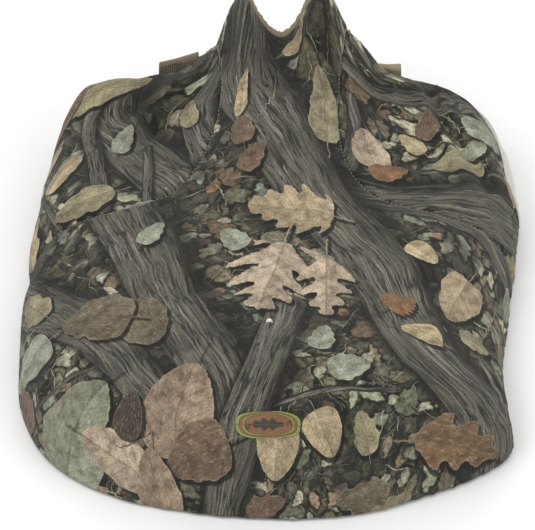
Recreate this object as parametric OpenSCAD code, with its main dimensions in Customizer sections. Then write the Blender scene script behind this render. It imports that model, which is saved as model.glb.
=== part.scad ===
// Camouflage quad-bike seat cover, in the shape it has over a seat.
// +Z up, +Y towards the nose of the seat, +X to the rider's right.
// Origin: centre of the footprint, on the plane that the hem stands on.
// The cover is a saddle-shaped centre panel and two side panels. It has a foam pad and a
// white backing inside, an elastic hem all round, and two buckled straps under the seat.

/* [Cover outline] */
// Length from the rear hem to the front hem
cover_len = 580; // [540:5:640]
// Width of the rear skirt at its widest
cover_w = 500; // [470:5:540]
// Width of the hem at the front corners
front_w = 456; // [430:2:470]
// How far behind the centre the skirt is widest
wide_back = 103; // [80:1:130]
// How far in front of the centre the side seams meet the hem
kink_ahead = 58; // [40:1:80]
// Squareness of the rear outline, where 2 is an ellipse
rear_power = 2.4; // [2.0:0.1:3.0]

/* [Cover heights] */
// Height of the seat's top above the panels' lower edge
seat_h = 118; // [100:1:140]
// Extra height of the rear over the dip that the rider sits in
dip_h = 20; // [0:1:30]
// Height of the wings beside the nose
wing_h = 84; // [70:1:95]
// Extra height of the nose over the wings
nose_h = 56; // [40:1:70]
// Extra height of the two front peaks over the nose
peak_h = 54; // [30:1:60]
// Distance of each front peak from the middle
peak_x = 38; // [34:1:46]

/* [Cloth layers] */
// Thickness of the printed face fabric
fabric_t = 1.2; // [0.8:0.1:1.6]
// Thickness of the foam pad
foam_t = 5; // [3:0.5:7]
// Thickness of the white backing
backing_t = 0.8; // [0.6:0.1:1.2]
// Gap between neighbouring layers
layer_gap = 0.3; // [0.2:0.05:0.4]
// Half width of the centre panel at the nose
nose_half_w = 57; // [50:1:64]

/* [Hem] */
// Radius of the hem casing
casing_r = 5.8; // [5:0.1:7]
// Thickness of the casing's cloth
casing_t = 1.6; // [1.2:0.1:2]
// Radius of the elastic in the casing
elastic_r = 3; // [2:0.1:3.2]

/* [Straps] */
// Width of the webbing
web_w = 25; // [24:0.5:25.5]
// Thickness of the webbing
web_t = 1.6; // [1.2:0.1:1.7]
// Distance of the front strap ahead of the centre
strap_front_y = 165; // [140:5:200]
// Distance of the rear strap behind the centre
strap_rear_y = 105; // [80:5:140]
// Width of the pull loops at the front hem
pull_w = 24; // [20:1:28]

/* [Buckles] */
// Width across a buckle
buckle_w = 34; // [33:0.5:40]
// Height of a buckle
buckle_h = 13; // [12:0.5:14]
// Running gap between the two halves
buckle_gap = 0.3; // [0.2:0.05:0.4]

/* [Badge] */
// Width of the badge on the rear skirt
badge_w = 72; // [60:1:80]
// Height of the badge
badge_h = 27; // [22:1:32]
// Thickness of each layer of the badge
badge_t = 0.9; // [0.6:0.1:1.2]

/* [Hidden] */

// Stations run from the front edge to the kink, on to the widest place, and round the rear.
front_n = 13;
waist_n = 3;
rear_n = 8;
half_n = front_n + waist_n + rear_n;
centre_cols = 9;
side_cols = 6;
pad_cols = 7;
pad_first = 5;

y_rear = -cover_len/2;
hem_gap = 0.8;
casing_z = casing_r*cos(22.5);
y_front = cover_len/2 - casing_r - casing_z - hem_gap;
y_wide = -wide_back;
y_kink = kink_ahead;
y_fan = -60;
fan_ratio = 0.35;
panel_z = casing_z + casing_r + hem_gap;
corner_run = 35;
corner_in = 12;
seam_fall = 4.4;
seam_flare = 11;
seam_gap = 0.5;
peak_run = 45;
backing_out = fabric_t + layer_gap;
backing_deep = backing_out + foam_t + layer_gap;
tape_half_w = 7.5;
tape_out = backing_out + backing_t + 2;
tape_t = 0.8;
thread_r = 0.4;
bite = 0.6;

// ---------------------------------------------------------------- shape of the cover

function smooth(t) = let (c = min(1, max(0, t))) c*c*(3 - 2*c);
function mix(a, b, t) = a + (b - a)*t;
function unit(v) = v/norm(v);

// Half width of the hem beside the rider, ahead of the widest place
function side_half_w(y) =
    let (t = (y - y_wide)/(y_front - y_wide), c = max(0, (y - y_front + corner_run)/corner_run))
    mix(cover_w/2, front_w/2, pow(max(0, t), 2.4)) - corner_in*c*c;

// Forward position of station i, counted from the front edge
function station_y(i) =
    i <= front_n ? mix(y_kink, y_front, (1 - cos(180*(1 - i/front_n)))/2)
    : i <= front_n + waist_n ? mix(y_kink, y_wide, (i - front_n)/waist_n)
    : mix(y_wide, y_rear, pow(sin(90*(i - front_n - waist_n)/rear_n), 2/rear_power));

// Half width of the hem at station i
function station_half_w(i) =
    i <= front_n + waist_n ? side_half_w(station_y(i))
    : cover_w/2*pow(max(0, cos(90*(i - front_n - waist_n)/rear_n)), 2/rear_power);

// Where the line across station i crosses the middle: behind y_fan the lines fan out
function spine_y(y) = y > y_fan ? y : y_fan + (y - y_fan)*fan_ratio;

// Height of the cover above the panels' lower edge, r = 0 in the middle and 1 at the hem
function seat_profile(y, r) =
    (seat_h + dip_h*pow((y + 20)/200, 2))*pow(max(0, 1 - pow(r, 2.8)), 1/2.1);

function peak_profile(x, y) =
    let (d = abs(x) - peak_x, s = d < 0 ? 17 : 23)
    peak_h*exp(-pow((y_front - y)/peak_run, 2))*exp(-pow(abs(d)/s, 2.6));

function nose_profile(x, y, r) =
    (wing_h + nose_h*exp(-pow(abs(x)/85, 3)))*sqrt(max(0, 1 - pow(r, 8))) + peak_profile(x, y);

function cover_point(i, side, r) =
    let (yh = station_y(i), ys = spine_y(yh), x = station_half_w(i)*r, y = mix(ys, yh, r))
    [side*x, y, panel_z + mix(seat_profile(y, r), nose_profile(x, y, r), smooth((y + 30)/190))];

// Outward direction at a point of the cover, from the slopes on either side of it
function cover_normal(i, side, r) =
    let (di = 0.02, dr = 0.004,
        along = i == half_n ? [-side, 0, 0]
            : cover_point(i + di, side, r) - cover_point(max(0, i - di), side, r),
        across = cover_point(i, side, min(1, r + dr)) - cover_point(i, side, max(0, r - dr)),
        n = unit(cross(along, across))*side,
        in_middle = r == 0 || i == half_n)
    in_middle ? unit([0, n.y, n.z]) : n;

function layer_point(i, side, r, depth) =
    cover_point(i, side, r) - depth*cover_normal(i, side, r);

// Share of the width that the centre panel takes at station i
function seam_share(i) =
    let (y = station_y(i), w = station_half_w(i), s = (y - y_kink)/(y_front - y_kink))
    i >= front_n ? 1
    : (nose_half_w + (w - nose_half_w)*exp(-seam_fall*sqrt(s)) + seam_flare*pow(s, 6))/w;

function centre_r(i, k) = sin(asin(seam_share(i))*k/centre_cols);
function side_r(i, k) =
    sin(mix(asin(min(1, seam_share(i) + seam_gap/station_half_w(i))), 90, k/side_cols));

// ---------------------------------------------------------------- meshes

function flip(faces) = [for (f = faces) [f[2], f[1], f[0]]];
function two(a, b, c, d) = [[a, b, c], [a, c, d]];
function flat(lists) = [for (l = lists) each l];

// A sheet over the whole width: rays from a shared middle line out to its edge.
// It takes stations first..half_n and columns 0..cols, and depth(i, k) for each face.
module centre_sheet(first, cols, outer, inner) {
    mid = half_n - first;
    rays = 2*mid;
    function side_of(j) = j < mid ? -1 : 1;
    function station_of(j) = first + (j < mid ? j : rays - j);
    function id(j, k) = k == 0 ? station_of(j) - first : mid + 1 + j*cols + k - 1;
    function face_points(depth) = concat(
        [for (s = [0:mid]) layer_point(first + s, 1, 0, depth(first + s, 0))],
        [for (j = [0:rays], k = [1:cols]) let (i = station_of(j))
            layer_point(i, side_of(j), centre_r(i, k), depth(i, k))]);
    top = face_points(outer);
    n = len(top);
    skin = flat([for (j = [0:rays - 1], k = [0:cols - 1])
        two(id(j, k), id(j + 1, k), id(j + 1, k + 1), id(j, k + 1))]);
    edge = concat(
        [for (j = [0:rays - 1]) [id(j, cols), id(j + 1, cols)]],
        [for (k = [0:cols - 1]) [id(0, k), id(0, k + 1)]],
        [for (k = [0:cols - 1]) [id(rays, k + 1), id(rays, k)]]);
    under = [for (f = flip(skin)) [f[0] + n, f[1] + n, f[2] + n]];
    rim = flat([for (e = edge) two(e[0], e[1], e[1] + n, e[0] + n)]);
    polyhedron(concat(top, face_points(inner)), concat(skin, under, rim), convexity = 6);
}

// A sheet on one side: rows of points, given as a function of row and column for each face
module grid_sheet(rows, cols, side, top_point, under_point) {
    function id(a, k) = a*(cols + 1) + k;
    function turned(faces) = side < 0 ? faces : flip(faces);
    n = (rows + 1)*(cols + 1);
    points = concat(
        [for (a = [0:rows], k = [0:cols]) top_point(a, k)],
        [for (a = [0:rows], k = [0:cols]) under_point(a, k)]);
    skin = flat([for (a = [0:rows - 1], k = [0:cols - 1])
        two(id(a, k), id(a + 1, k), id(a + 1, k + 1), id(a, k + 1))]);
    edge = concat(
        [for (a = [0:rows - 1]) [id(a, cols), id(a + 1, cols)]],
        [for (a = [0:rows - 1]) [id(a + 1, 0), id(a, 0)]],
        [for (k = [0:cols - 1]) [id(0, k), id(0, k + 1)]],
        [for (k = [0:cols - 1]) [id(rows, k + 1), id(rows, k)]]);
    under = [for (f = flip(skin)) [f[0] + n, f[1] + n, f[2] + n]];
    rim = flat([for (e = edge) two(e[0], e[1], e[1] + n, e[0] + n)]);
    polyhedron(points, turned(concat(skin, under, rim)), convexity = 6);
}

// Stations of a side panel: the last one stops just short of the kink
function side_station(a) = a < front_n ? a : front_n - 0.4;

module side_sheet(side, depth_a, depth_b) {
    grid_sheet(front_n, side_cols, side,
        function(a, k) let (i = side_station(a)) layer_point(i, side, side_r(i, k), depth_a),
        function(a, k) let (i = side_station(a)) layer_point(i, side, side_r(i, k), depth_b));
}

// Ring of points round a path point, with ref as the direction of its first axis
function ring(p, along, ref, r) =
    let (b = unit(cross(along, ref)), a = cross(b, along))
    [for (q = [0:7]) p + r*(cos(45*q + 22.5)*a + sin(45*q + 22.5)*b)];

function heading(path, q, closed) =
    let (n = len(path), before = closed ? (q + n - 1)%n : max(0, q - 1),
        after = closed ? (q + 1)%n : min(n - 1, q + 1))
    unit(path[after] - path[before]);

function tube_rings(path, refs, r, closed) =
    [for (q = [0:len(path) - 1]) each ring(path[q], heading(path, q, closed), refs[q], r)];

function tube_skin(count, closed, start = 0) = flat([
    for (q = [0:count - (closed ? 1 : 2)], s = [0:7])
        let (a = start + q*8, b = start + ((q + 1)%count)*8, t = (s + 1)%8)
        two(a + s, a + t, b + t, b + s)]);

// Solid round cord along a path
module cord(path, refs, r, closed = false) {
    n = len(path);
    caps = closed ? [] : [[7, 6, 5, 4, 3, 2, 1, 0], [for (s = [0:7]) (n - 1)*8 + s]];
    polyhedron(tube_rings(path, refs, r, closed), concat(tube_skin(n, closed), caps),
        convexity = 8);
}

// Hollow tube along an open path
module sleeve(path, refs, r_out, r_in) {
    n = len(path);
    last = (n - 1)*8;
    m = n*8;
    start_cap = flat([for (s = [0:7]) let (t = (s + 1)%8) two(t, s, s + m, t + m)]);
    end_cap = flat([for (s = [0:7]) let (t = (s + 1)%8)
        two(last + s, last + t, last + t + m, last + s + m)]);
    polyhedron(concat(tube_rings(path, refs, r_out, false), tube_rings(path, refs, r_in, false)),
        concat(tube_skin(n, false), flip(tube_skin(n, false, m)), start_cap, end_cap),
        convexity = 8);
}

// ---------------------------------------------------------------- panels and padding

module centre_panel() color("#5b5548")
    centre_sheet(0, centre_cols, function(i, k) 0, function(i, k) fabric_t);

module side_panel(side) color("#4f4b40") side_sheet(side, 0, fabric_t);

module foam_pad() color("#d9d4c6")
    centre_sheet(pad_first, pad_cols, function(i, k) backing_out,
        function(i, k) backing_out + foam_t);

// The backing lies under the foam, and against the face fabric beyond it
function backing_depth(i, k) = i >= pad_first && k <= pad_cols ? backing_deep : backing_out;

module backing_centre() color("#f2f2ee")
    centre_sheet(0, centre_cols, function(i, k) backing_depth(i, k),
        function(i, k) backing_depth(i, k) + backing_t);

module backing_side(side) color("#f2f2ee")
    side_sheet(side, backing_out, backing_out + backing_t);

// Woven tape over the seam on the inside
module seam_tape(side) {
    first = 4;
    function tape_r(i, k) = seam_share(i) + (k - 1)*tape_half_w/station_half_w(i);
    color("#2c2b28") grid_sheet(front_n - 2 - first, 2, side,
        function(a, k) layer_point(a + first, side, tape_r(a + first, k), tape_out),
        function(a, k) layer_point(a + first, side, tape_r(a + first, k), tape_out + tape_t));
}

// Thread that shows on the outside of the seam
module topstitch(side) {
    stations = [1:front_n - 1];
    path = [for (i = stations) layer_point(i, side, seam_share(i), -thread_r - 0.3)];
    color("#26241f") cord(path, [for (i = stations) cover_normal(i, side, seam_share(i))],
        thread_r);
}

// ---------------------------------------------------------------- hem

// Centre line of the casing under the edge at station i: inside the outline by its radius
function hem_point(i, side) =
    let (di = 0.05,
        a = cover_point(max(0, i - di), side, 1), b = cover_point(min(half_n, i + di), side, 1),
        t = unit([b.x - a.x, b.y - a.y]), p = cover_point(i, side, 1))
    i == half_n ? [0, y_rear + casing_r, casing_z]
    : [p.x - side*casing_r*abs(t.y), p.y + casing_r*abs(t.x), casing_z];

// Centre line of the casing along the front edge, from the left corner to the right one
front_line = [for (q = [-centre_cols - side_cols:centre_cols + side_cols])
    let (side = q < 0 ? -1 : 1, k = abs(q),
        r = k <= centre_cols ? centre_r(0, k) : side_r(0, k - centre_cols),
        p = cover_point(0, side, r), x_max = station_half_w(0) - casing_r)
    [side*min(abs(p.x), x_max), y_front + hem_gap + casing_r, max(p.z, panel_z + 2)]];

rear_line = concat([for (i = [front_n:half_n]) hem_point(i, -1)],
    [for (i = [half_n - 1:-1:front_n]) hem_point(i, 1)]);
side_lines = [for (side = [-1, 1]) [for (i = [0:front_n - 1]) hem_point(i, side)]];
up = [0, 0, 1];
back = [0, -1, 0];
function same(v, path) = [for (p = path) v];

module hem_casing_side(side) {
    line = side_lines[side < 0 ? 0 : 1];
    path = concat(line, [mix(line[front_n - 1], hem_point(front_n, side), 0.9)]);
    color("#3f3c33") sleeve(path, same(up, path), casing_r, casing_r - casing_t);
}

module hem_casing_rear() color("#3f3c33")
    sleeve(rear_line, same(up, rear_line), casing_r, casing_r - casing_t);

module hem_casing_front() color("#6f6650")
    sleeve(front_line, same(back, front_line), casing_r, casing_r - casing_t);

// The elastic is one closed loop through all four casings
module hem_elastic() {
    right = side_lines[1];
    left = side_lines[0];
    turned_front = [for (q = [len(front_line) - 1:-1:0]) front_line[q]];
    path = concat(left, rear_line, [for (q = [front_n - 1:-1:0]) right[q]], turned_front);
    refs = concat(same(up, left), same(up, rear_line), same(up, right), same(back, front_line));
    color("#e8e6df") cord(path, refs, elastic_r, closed = true);
}

// Folded webbing loop that stands up from the front hem, to pull the cover forward.
// Its foot follows the hem's slope, above the straight runs of the casing (chord_rise).
module pull_loop(side) {
    at = 116;
    loop_t = 1.5;
    loop_r = 3.2;
    rise = 10;
    chord_rise = 1.8;
    half_d = loop_r + loop_t;
    x_in = at - pull_w/2;
    x_out = at + pull_w/2;
    function hem_top(x) =
        cover_point(0, 1, x/station_half_w(0)).z + chord_rise + casing_r + 2*hem_gap;
    base = hem_top(x_in);
    color("#4a4438")
    mirror([side < 0 ? 1 : 0, 0, 0]) translate([0, y_front + hem_gap + casing_r, 0]) {
        translate([x_in, 0, base]) rotate([90, 0, 90]) linear_extrude(pull_w) difference() {
            union() {
                translate([0, rise]) circle(half_d, $fn = 40);
                translate([-half_d, 0]) square([2*half_d, rise]);
            }
            translate([0, rise]) circle(loop_r, $fn = 40);
            translate([-loop_r, loop_t]) square([2*loop_r, rise - loop_t]);
        }
        translate([0, half_d, 0]) rotate([90, 0, 0]) linear_extrude(2*half_d)
            polygon([[x_in, base], [x_out, hem_top(x_out)], [x_out, base + bite],
                [x_in, base + bite]]);
    }
}

// ---------------------------------------------------------------- straps under the seat

web_z = 3.6;
bar_x = -33;
bar_r = 2;
bar_z = web_z + web_t + bar_r + buckle_gap;
lap_len = 40;
prong_z = web_z + web_t + 0.9;
prong_h = 4.8;
socket_len = 28;
buckle_z = 1;
slot_h = web_t + 2*buckle_gap + 0.2;
slot_z = web_z - buckle_gap - 0.1;
base_x = 1;
base_len = 11;
ladder_len = 18;
web_end_x = base_x + base_len - 2;
slot_w = web_w + 1;

// Outer end of a strap: just inside the hem casing at this distance along the cover
function strap_reach(y) = side_half_w(y) - 2*casing_r - hem_gap;

module box(x, y, z) {
    translate([x[0], y[0], z[0]]) cube([x[1] - x[0], y[1] - y[0], z[1] - z[0]]);
}

// Left webbing: runs to the socket's bar, round it, and back onto itself
module web_left(y) {
    reach = strap_reach(y);
    ring_r = bar_r + buckle_gap;
    top = bar_z + ring_r;
    lap_z = web_z + web_t + 0.1;
    color("#2b2a27") translate([0, y + web_w/2, 0]) rotate([90, 0, 0]) linear_extrude(web_w) {
        difference() {
            union() {
                translate([bar_x, bar_z]) circle(ring_r + web_t, $fn = 48);
                polygon([[bar_x, top + web_t], [bar_x - 16, lap_z + web_t],
                    [bar_x - lap_len, lap_z + web_t], [bar_x - lap_len, lap_z - 0.1],
                    [bar_x - 14, lap_z - 0.1], [bar_x, top]]);
            }
            translate([bar_x, bar_z]) circle(ring_r, $fn = 48);
        }
        translate([-reach, web_z]) square([reach + bar_x, web_t]);
    }
}

// Right webbing: one straight run through the ladder of the prong half
module web_right(y) {
    color("#2b2a27") box([web_end_x, strap_reach(y)], [y - web_w/2, y + web_w/2],
        [web_z, web_z + web_t]);
}

module socket_half(y) {
    half = buckle_w/2;
    wall = 3.4;
    prong_room = half - 0.9;
    color("#1d1d1c") translate([0, y, 0]) {
        difference() {
            union() {
                box([-socket_len, 0], [-half, half], [buckle_z, buckle_z + buckle_h]);
                for (s = [-1, 1]) box([bar_x - 3, -socket_len + 1],
                    [s > 0 ? half - wall : -half, s > 0 ? half : -half + wall],
                    [buckle_z + 1, buckle_z + buckle_h - 2]);
            }
            box([-socket_len + 3, 1], [-half + wall, half - wall],
                [slot_z - 0.2, buckle_z + buckle_h - 2]);
            box([-socket_len + 3, 1], [-prong_room, prong_room],
                [prong_z - buckle_gap, prong_z + prong_h + buckle_gap]);
            box([-21, -8], [-half - 1, half + 1],
                [prong_z - buckle_gap, prong_z + prong_h + buckle_gap]);
        }
        translate([bar_x, half - wall + bite, bar_z]) rotate([90, 0, 0])
            cylinder(r = bar_r, h = 2*(half - wall + bite), $fn = 48);
    }
}

module prong_half(y) {
    half = buckle_w/2;
    rail = half - slot_w/2;
    ladder_x = base_x + base_len;
    ladder_top = buckle_z + 8;
    color("#1d1d1c") translate([0, y, 0]) {
        difference() {
            union() {
                box([base_x, ladder_x], [-half, half], [buckle_z, buckle_z + buckle_h]);
                for (s = [0, 1]) box([ladder_x - 1, ladder_x + ladder_len],
                    [s*(2*half - rail) - half, s*(2*half - rail) - half + rail],
                    [buckle_z, ladder_top]);
                for (x = [ladder_x + 2, ladder_x + ladder_len - 4]) box([x, x + 4],
                    [-half, half], [slot_z + slot_h, ladder_top]);
                box([ladder_x + 8, ladder_x + 12], [-half, half], [buckle_z, slot_z]);
            }
            box([base_x - 1, ladder_x + ladder_len + 1], [-slot_w/2, slot_w/2],
                [slot_z, slot_z + slot_h]);
        }
        box([-20, base_x + bite], [-3, 3], [prong_z + 0.6, prong_z + prong_h - 0.6]);
        for (s = [0, 1]) mirror([0, s, 0])
            translate([0, 0, prong_z]) linear_extrude(prong_h)
                polygon([[base_x + bite, 8.5], [-19, 9.5], [-21.6, 11], [-20.4, 13],
                    [-12, half - 1.3], [-9.4, half - 1.3], [-9.4, 13], [base_x + bite, 12.5]]);
    }
}

// ---------------------------------------------------------------- badge

badge_r = 0.82;

// Puts a flat child on the middle of the rear skirt, raised by lift
module on_rear_skirt(lift) {
    p = cover_point(half_n, 1, badge_r);
    n = cover_normal(half_n, 1, badge_r);
    translate(p + n*lift) rotate([atan2(-n.y, n.z), 0, 0]) children();
}

module badge_outline(grow) {
    corner = badge_h/2 + grow;
    hull() for (s = [-1, 1])
        translate([s*(badge_w/2 - badge_h/2), 0]) circle(corner, $fn = 48);
}

lift_base = 1.4;

module badge_base() color("#b5602c") on_rear_skirt(lift_base)
    linear_extrude(badge_t) badge_outline(0);

module badge_border() color("#97a846") on_rear_skirt(lift_base + badge_t + 0.05)
    linear_extrude(badge_t) difference() {
        badge_outline(0);
        badge_outline(-2.6);
    }

// An oak leaf: pairs of round lobes along a midrib
module badge_leaf() color("#33332b") on_rear_skirt(lift_base + badge_t + 0.05)
    linear_extrude(badge_t) {
        translate([-19, -0.9]) square([38, 1.8]);
        for (q = [0:3]) translate([-11 + 7*q, 0]) for (s = [-1, 1])
            rotate(s*62) translate([0, -1.7]) {
                square([6.4 - 0.7*q, 3.4]);
                translate([6.4 - 0.7*q, 1.7]) circle(2.3 - 0.2*q, $fn = 32);
            }
        translate([16.5, 0]) circle(2.6, $fn = 32);
    }

centre_panel();
side_panel(-1);  // side_panel_left
side_panel(1);  // side_panel_right
foam_pad();
backing_centre();
backing_side(-1);  // backing_left
backing_side(1);  // backing_right
seam_tape(-1);  // seam_tape_left
seam_tape(1);  // seam_tape_right
topstitch(-1);  // topstitch_left
topstitch(1);  // topstitch_right
hem_casing_side(-1);  // hem_casing_left
hem_casing_side(1);  // hem_casing_right
hem_casing_rear();
hem_casing_front();
hem_elastic();
pull_loop(-1);  // pull_loop_left
pull_loop(1);  // pull_loop_right
web_left(strap_front_y);  // front_web_left
web_right(strap_front_y);  // front_web_right
socket_half(strap_front_y);  // front_buckle_socket
prong_half(strap_front_y);  // front_buckle_prongs
web_left(-strap_rear_y);  // rear_web_left
web_right(-strap_rear_y);  // rear_web_right
socket_half(-strap_rear_y);  // rear_buckle_socket
prong_half(-strap_rear_y);  // rear_buckle_prongs
badge_base();
badge_border();
badge_leaf();
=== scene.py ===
"""Looks of the camouflage quad-bike seat cover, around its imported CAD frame.

Metres, +Z up, +Y towards the nose of the seat, +X to the rider's right.
The cloth is one surface: rays run from a middle line out to the hem. Its flat fabric
coordinates (u to the right, v forward) carry the print, the stitches and the badge.
"""
import contextlib
import math

import bmesh
import bpy
import numpy as np
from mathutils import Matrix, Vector, noise
from mathutils.bvhtree import BVHTree
from mathutils.kdtree import KDTree


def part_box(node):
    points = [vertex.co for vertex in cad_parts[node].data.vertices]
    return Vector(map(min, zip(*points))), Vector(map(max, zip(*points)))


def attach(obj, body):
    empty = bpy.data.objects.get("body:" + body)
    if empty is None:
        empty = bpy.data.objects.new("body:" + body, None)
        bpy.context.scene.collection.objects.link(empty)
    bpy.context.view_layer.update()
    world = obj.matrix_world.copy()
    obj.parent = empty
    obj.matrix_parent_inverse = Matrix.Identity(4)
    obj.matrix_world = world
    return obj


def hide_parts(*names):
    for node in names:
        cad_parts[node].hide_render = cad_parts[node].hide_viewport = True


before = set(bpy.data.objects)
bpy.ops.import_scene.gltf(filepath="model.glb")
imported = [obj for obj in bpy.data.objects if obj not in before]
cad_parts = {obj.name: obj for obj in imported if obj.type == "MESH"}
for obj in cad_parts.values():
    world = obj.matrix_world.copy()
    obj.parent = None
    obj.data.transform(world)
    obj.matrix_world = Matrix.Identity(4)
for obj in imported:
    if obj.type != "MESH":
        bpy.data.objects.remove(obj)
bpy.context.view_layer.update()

BODY = "cover"
SIDES = ((-1, "left"), (1, "right"))
PANELS = ((0, "centre"), (-1, "left"), (1, "right"))
PANEL_NODES = {0: "centre_panel", -1: "side_panel_left", 1: "side_panel_right"}
UP = np.array([0.0, 0.0, 1.0])

# The CAD cover's shape, as part.scad has it
LENGTH = 0.580
WIDTH = 0.500
FRONT_WIDTH = 0.456
WIDE_BACK = 0.103
KINK_Y = 0.058
REAR_POWER = 2.4
SEAT_H = 0.118
DIP_H = 0.020
WING_H = 0.084
NOSE_H = 0.056
PEAK_H = 0.054
PEAK_X = 0.038
CASING_R = 0.0058
HEM_GAP = 0.0008
FAN_Y = -0.060
FAN_RATIO = 0.35
NOSE_HALF_W = 0.057
SEAM_FALL = 4.4
SEAM_FLARE = 0.011
CASING_Z = CASING_R * math.cos(math.radians(22.5))
PANEL_Z = CASING_Z + CASING_R + HEM_GAP
REAR_Y = -LENGTH / 2
FRONT_Y = LENGTH / 2 - CASING_R - CASING_Z - HEM_GAP
HEM_KINK = KINK_Y - 0.004

# Cloth layers, and how the cloth lies
FACE_T = 0.0012
BACKING_T = 0.0008
FOAM_T = 0.005
LAYER_GAP = 0.0003
GRID_STEP = 0.0065
COLUMNS = 46
SIM_FRAMES = 18
SIM_CAP = 0.0045
FRONT_DROP = 0.009
SKIRT = 0.0078
NOSE_LEAN = 0.0125
CLOTH_LOW = 0.0042
FLOOR_GAP = 0.0003
# Folds on the wings: start and end in plan, width, height
FOLDS = (
    ((-0.176, 0.170), (-0.082, 0.268), 0.0110, 0.010),
    ((-0.150, 0.166), (-0.068, 0.250), 0.0100, -0.006),
    ((0.138, 0.252), (0.196, 0.112), 0.0100, 0.009),
    ((0.153, 0.256), (0.212, 0.116), 0.0055, -0.014),
)
CLOTH = {
    "quality": 6, "mass": 0.25, "tension_stiffness": 18, "compression_stiffness": 18,
    "shear_stiffness": 6, "bending_stiffness": 0.35, "tension_damping": 12,
    "compression_damping": 12, "shear_damping": 8, "bending_damping": 0.8,
    "vertex_group_mass": "hold", "pin_stiffness": 0.6, "shrink_min": -0.035,
    "use_pressure": True, "uniform_pressure_force": 0.6,
}

# Sewn and moulded pieces
STITCH = (0.0034, 0.00052)
HEM_STITCH = (0.0034, 0.00062)
BOX_STITCH = (0.0021, 0.00035)
TUBE_SIDES = 16
TUBE_STEP = 0.0022
LIP_W = 0.0110
LIP_CORNER = 0.0133
LOOP_T = 0.0009
LOOP_R = 0.0036
WEB_W = 0.025
WEB_T = 0.0016
WEB_Z = 0.0036
BAR_X = -0.033
BAR_R = 0.0020
BAR_Z = WEB_Z + WEB_T + BAR_R + 0.0003
LAP = 0.040
BADGE_W = 0.072
BADGE_H = 0.027
LEAF_LENGTH = 0.034


# ------------------------------------------------------------------ small helpers


def smooth(t):
    t = np.clip(t, 0.0, 1.0)
    return t * t * (3 - 2 * t)


def bell(value, centre, width):
    """1 at the centre, falling softly to nearly 0 two widths away."""
    return np.exp(-(((value - centre) / width) ** 2))


def unit(rows):
    return rows / np.linalg.norm(rows, axis=-1, keepdims=True)


def heading(path):
    return unit(np.gradient(np.asarray(path), axis=0))


def run_along(path):
    """Distance from a path's start to each of its points."""
    return np.concatenate([[0], np.cumsum(np.linalg.norm(np.diff(path, axis=0), axis=1))])


def resample(path, step, *others):
    """Evenly spaced points along a path, with its other values carried along."""
    run = run_along(path)
    at = np.linspace(0, run[-1], int(run[-1] / step) + 1)
    return [np.stack([np.interp(at, run, column) for column in values.T], axis=1)
            for values in (path, *others)]


def soften(path, rounds):
    """Evens out small kinks along an open path."""
    path = path.copy()
    for _ in range(rounds):
        path[1:-1] = 0.25 * path[:-2] + 0.5 * path[1:-1] + 0.25 * path[2:]
    return path


def wander(x, y, scale, seed):
    """Smooth noise from -1 to 1 at each point."""
    return np.array([noise.noise((a * scale, b * scale, seed)) for a, b in zip(x, y)])


def search_tree(points):
    """A tree that finds the nearest of some plan or space points."""
    tree = KDTree(len(points))
    for q, p in enumerate(points):
        tree.insert((*p, 0.0)[:3], q)
    tree.balance()
    return tree


def new_mesh(name, points, faces):
    mesh = bpy.data.meshes.new(name)
    mesh.from_pydata([tuple(p) for p in points], [], faces)
    mesh.update()
    return add_object(name, mesh)


def add_object(name, data):
    obj = bpy.data.objects.new(name, data)
    bpy.context.collection.objects.link(obj)
    return obj


@contextlib.contextmanager
def edit(obj):
    """The object's mesh to work on, written back at the end."""
    bm = bmesh.new()
    bm.from_mesh(obj.data)
    yield bm
    bm.to_mesh(obj.data)
    bm.free()


def read(items, name, width, kind=np.float64):
    flat = np.empty(len(items) * width, dtype=kind)
    items.foreach_get(name, flat)
    return flat.reshape(-1, width)


def coords(obj):
    return read(obj.data.vertices, "co", 3)


def normals(obj):
    return read(obj.data.vertices, "normal", 3)


def even_normals(obj, rounds=4):
    """Vertex normals averaged with their neighbours', for offsets of a few millimetres."""
    n = normals(obj)
    a, b = read(obj.data.edges, "vertices", 2, np.int64).T
    for _ in range(rounds):
        total = n.copy()
        np.add.at(total, a, n[b])
        np.add.at(total, b, n[a])
        n = unit(total)
    return n


def move_to(obj, points):
    obj.data.vertices.foreach_set("co", np.asarray(points).ravel())
    obj.data.update()


def set_vector(obj, name, values):
    layer = obj.data.attributes.new(name, "FLOAT_VECTOR", "POINT")
    layer.data.foreach_set("vector", np.ascontiguousarray(values, dtype=np.float32).ravel())


def get_vector(obj, name):
    return read(obj.data.attributes[name].data, "vector", 3, np.float32)


def apply_modifiers(obj):
    depsgraph = bpy.context.evaluated_depsgraph_get()
    mesh = bpy.data.meshes.new_from_object(
        obj.evaluated_get(depsgraph), preserve_all_data_layers=True, depsgraph=depsgraph)
    old = obj.data
    obj.modifiers.clear()
    obj.data = mesh
    bpy.data.meshes.remove(old)


def modify(obj, kind, **settings):
    """Adds a modifier and applies it."""
    modifier = obj.modifiers.new(kind.lower(), kind)
    for key, value in settings.items():
        setattr(modifier, key, value)
    apply_modifiers(obj)


def thicken(obj, thickness, offset=-1.0):
    modify(obj, "SOLIDIFY", thickness=thickness, offset=offset)


def sheet_faces(rows, cols):
    """Faces of a grid of points, row after row."""
    starts = [i * cols + k for i in range(rows - 1) for k in range(cols - 1)]
    return [(a, a + 1, a + cols + 1, a + cols) for a in starts]


def tube_faces(rings, sides, base=0, closed=False):
    """Faces of a tube of rings, closed to a loop or capped at both ends."""
    out = []
    for i in range(rings if closed else rings - 1):
        a, b = base + i * sides, base + (i + 1) % rings * sides
        out += [(a + q, a + (q + 1) % sides, b + (q + 1) % sides, b + q) for q in range(sides)]
    if not closed:
        last = base + (rings - 1) * sides
        out.append(tuple(range(base, base + sides))[::-1])
        out.append(tuple(range(last, last + sides)))
    return out


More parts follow.
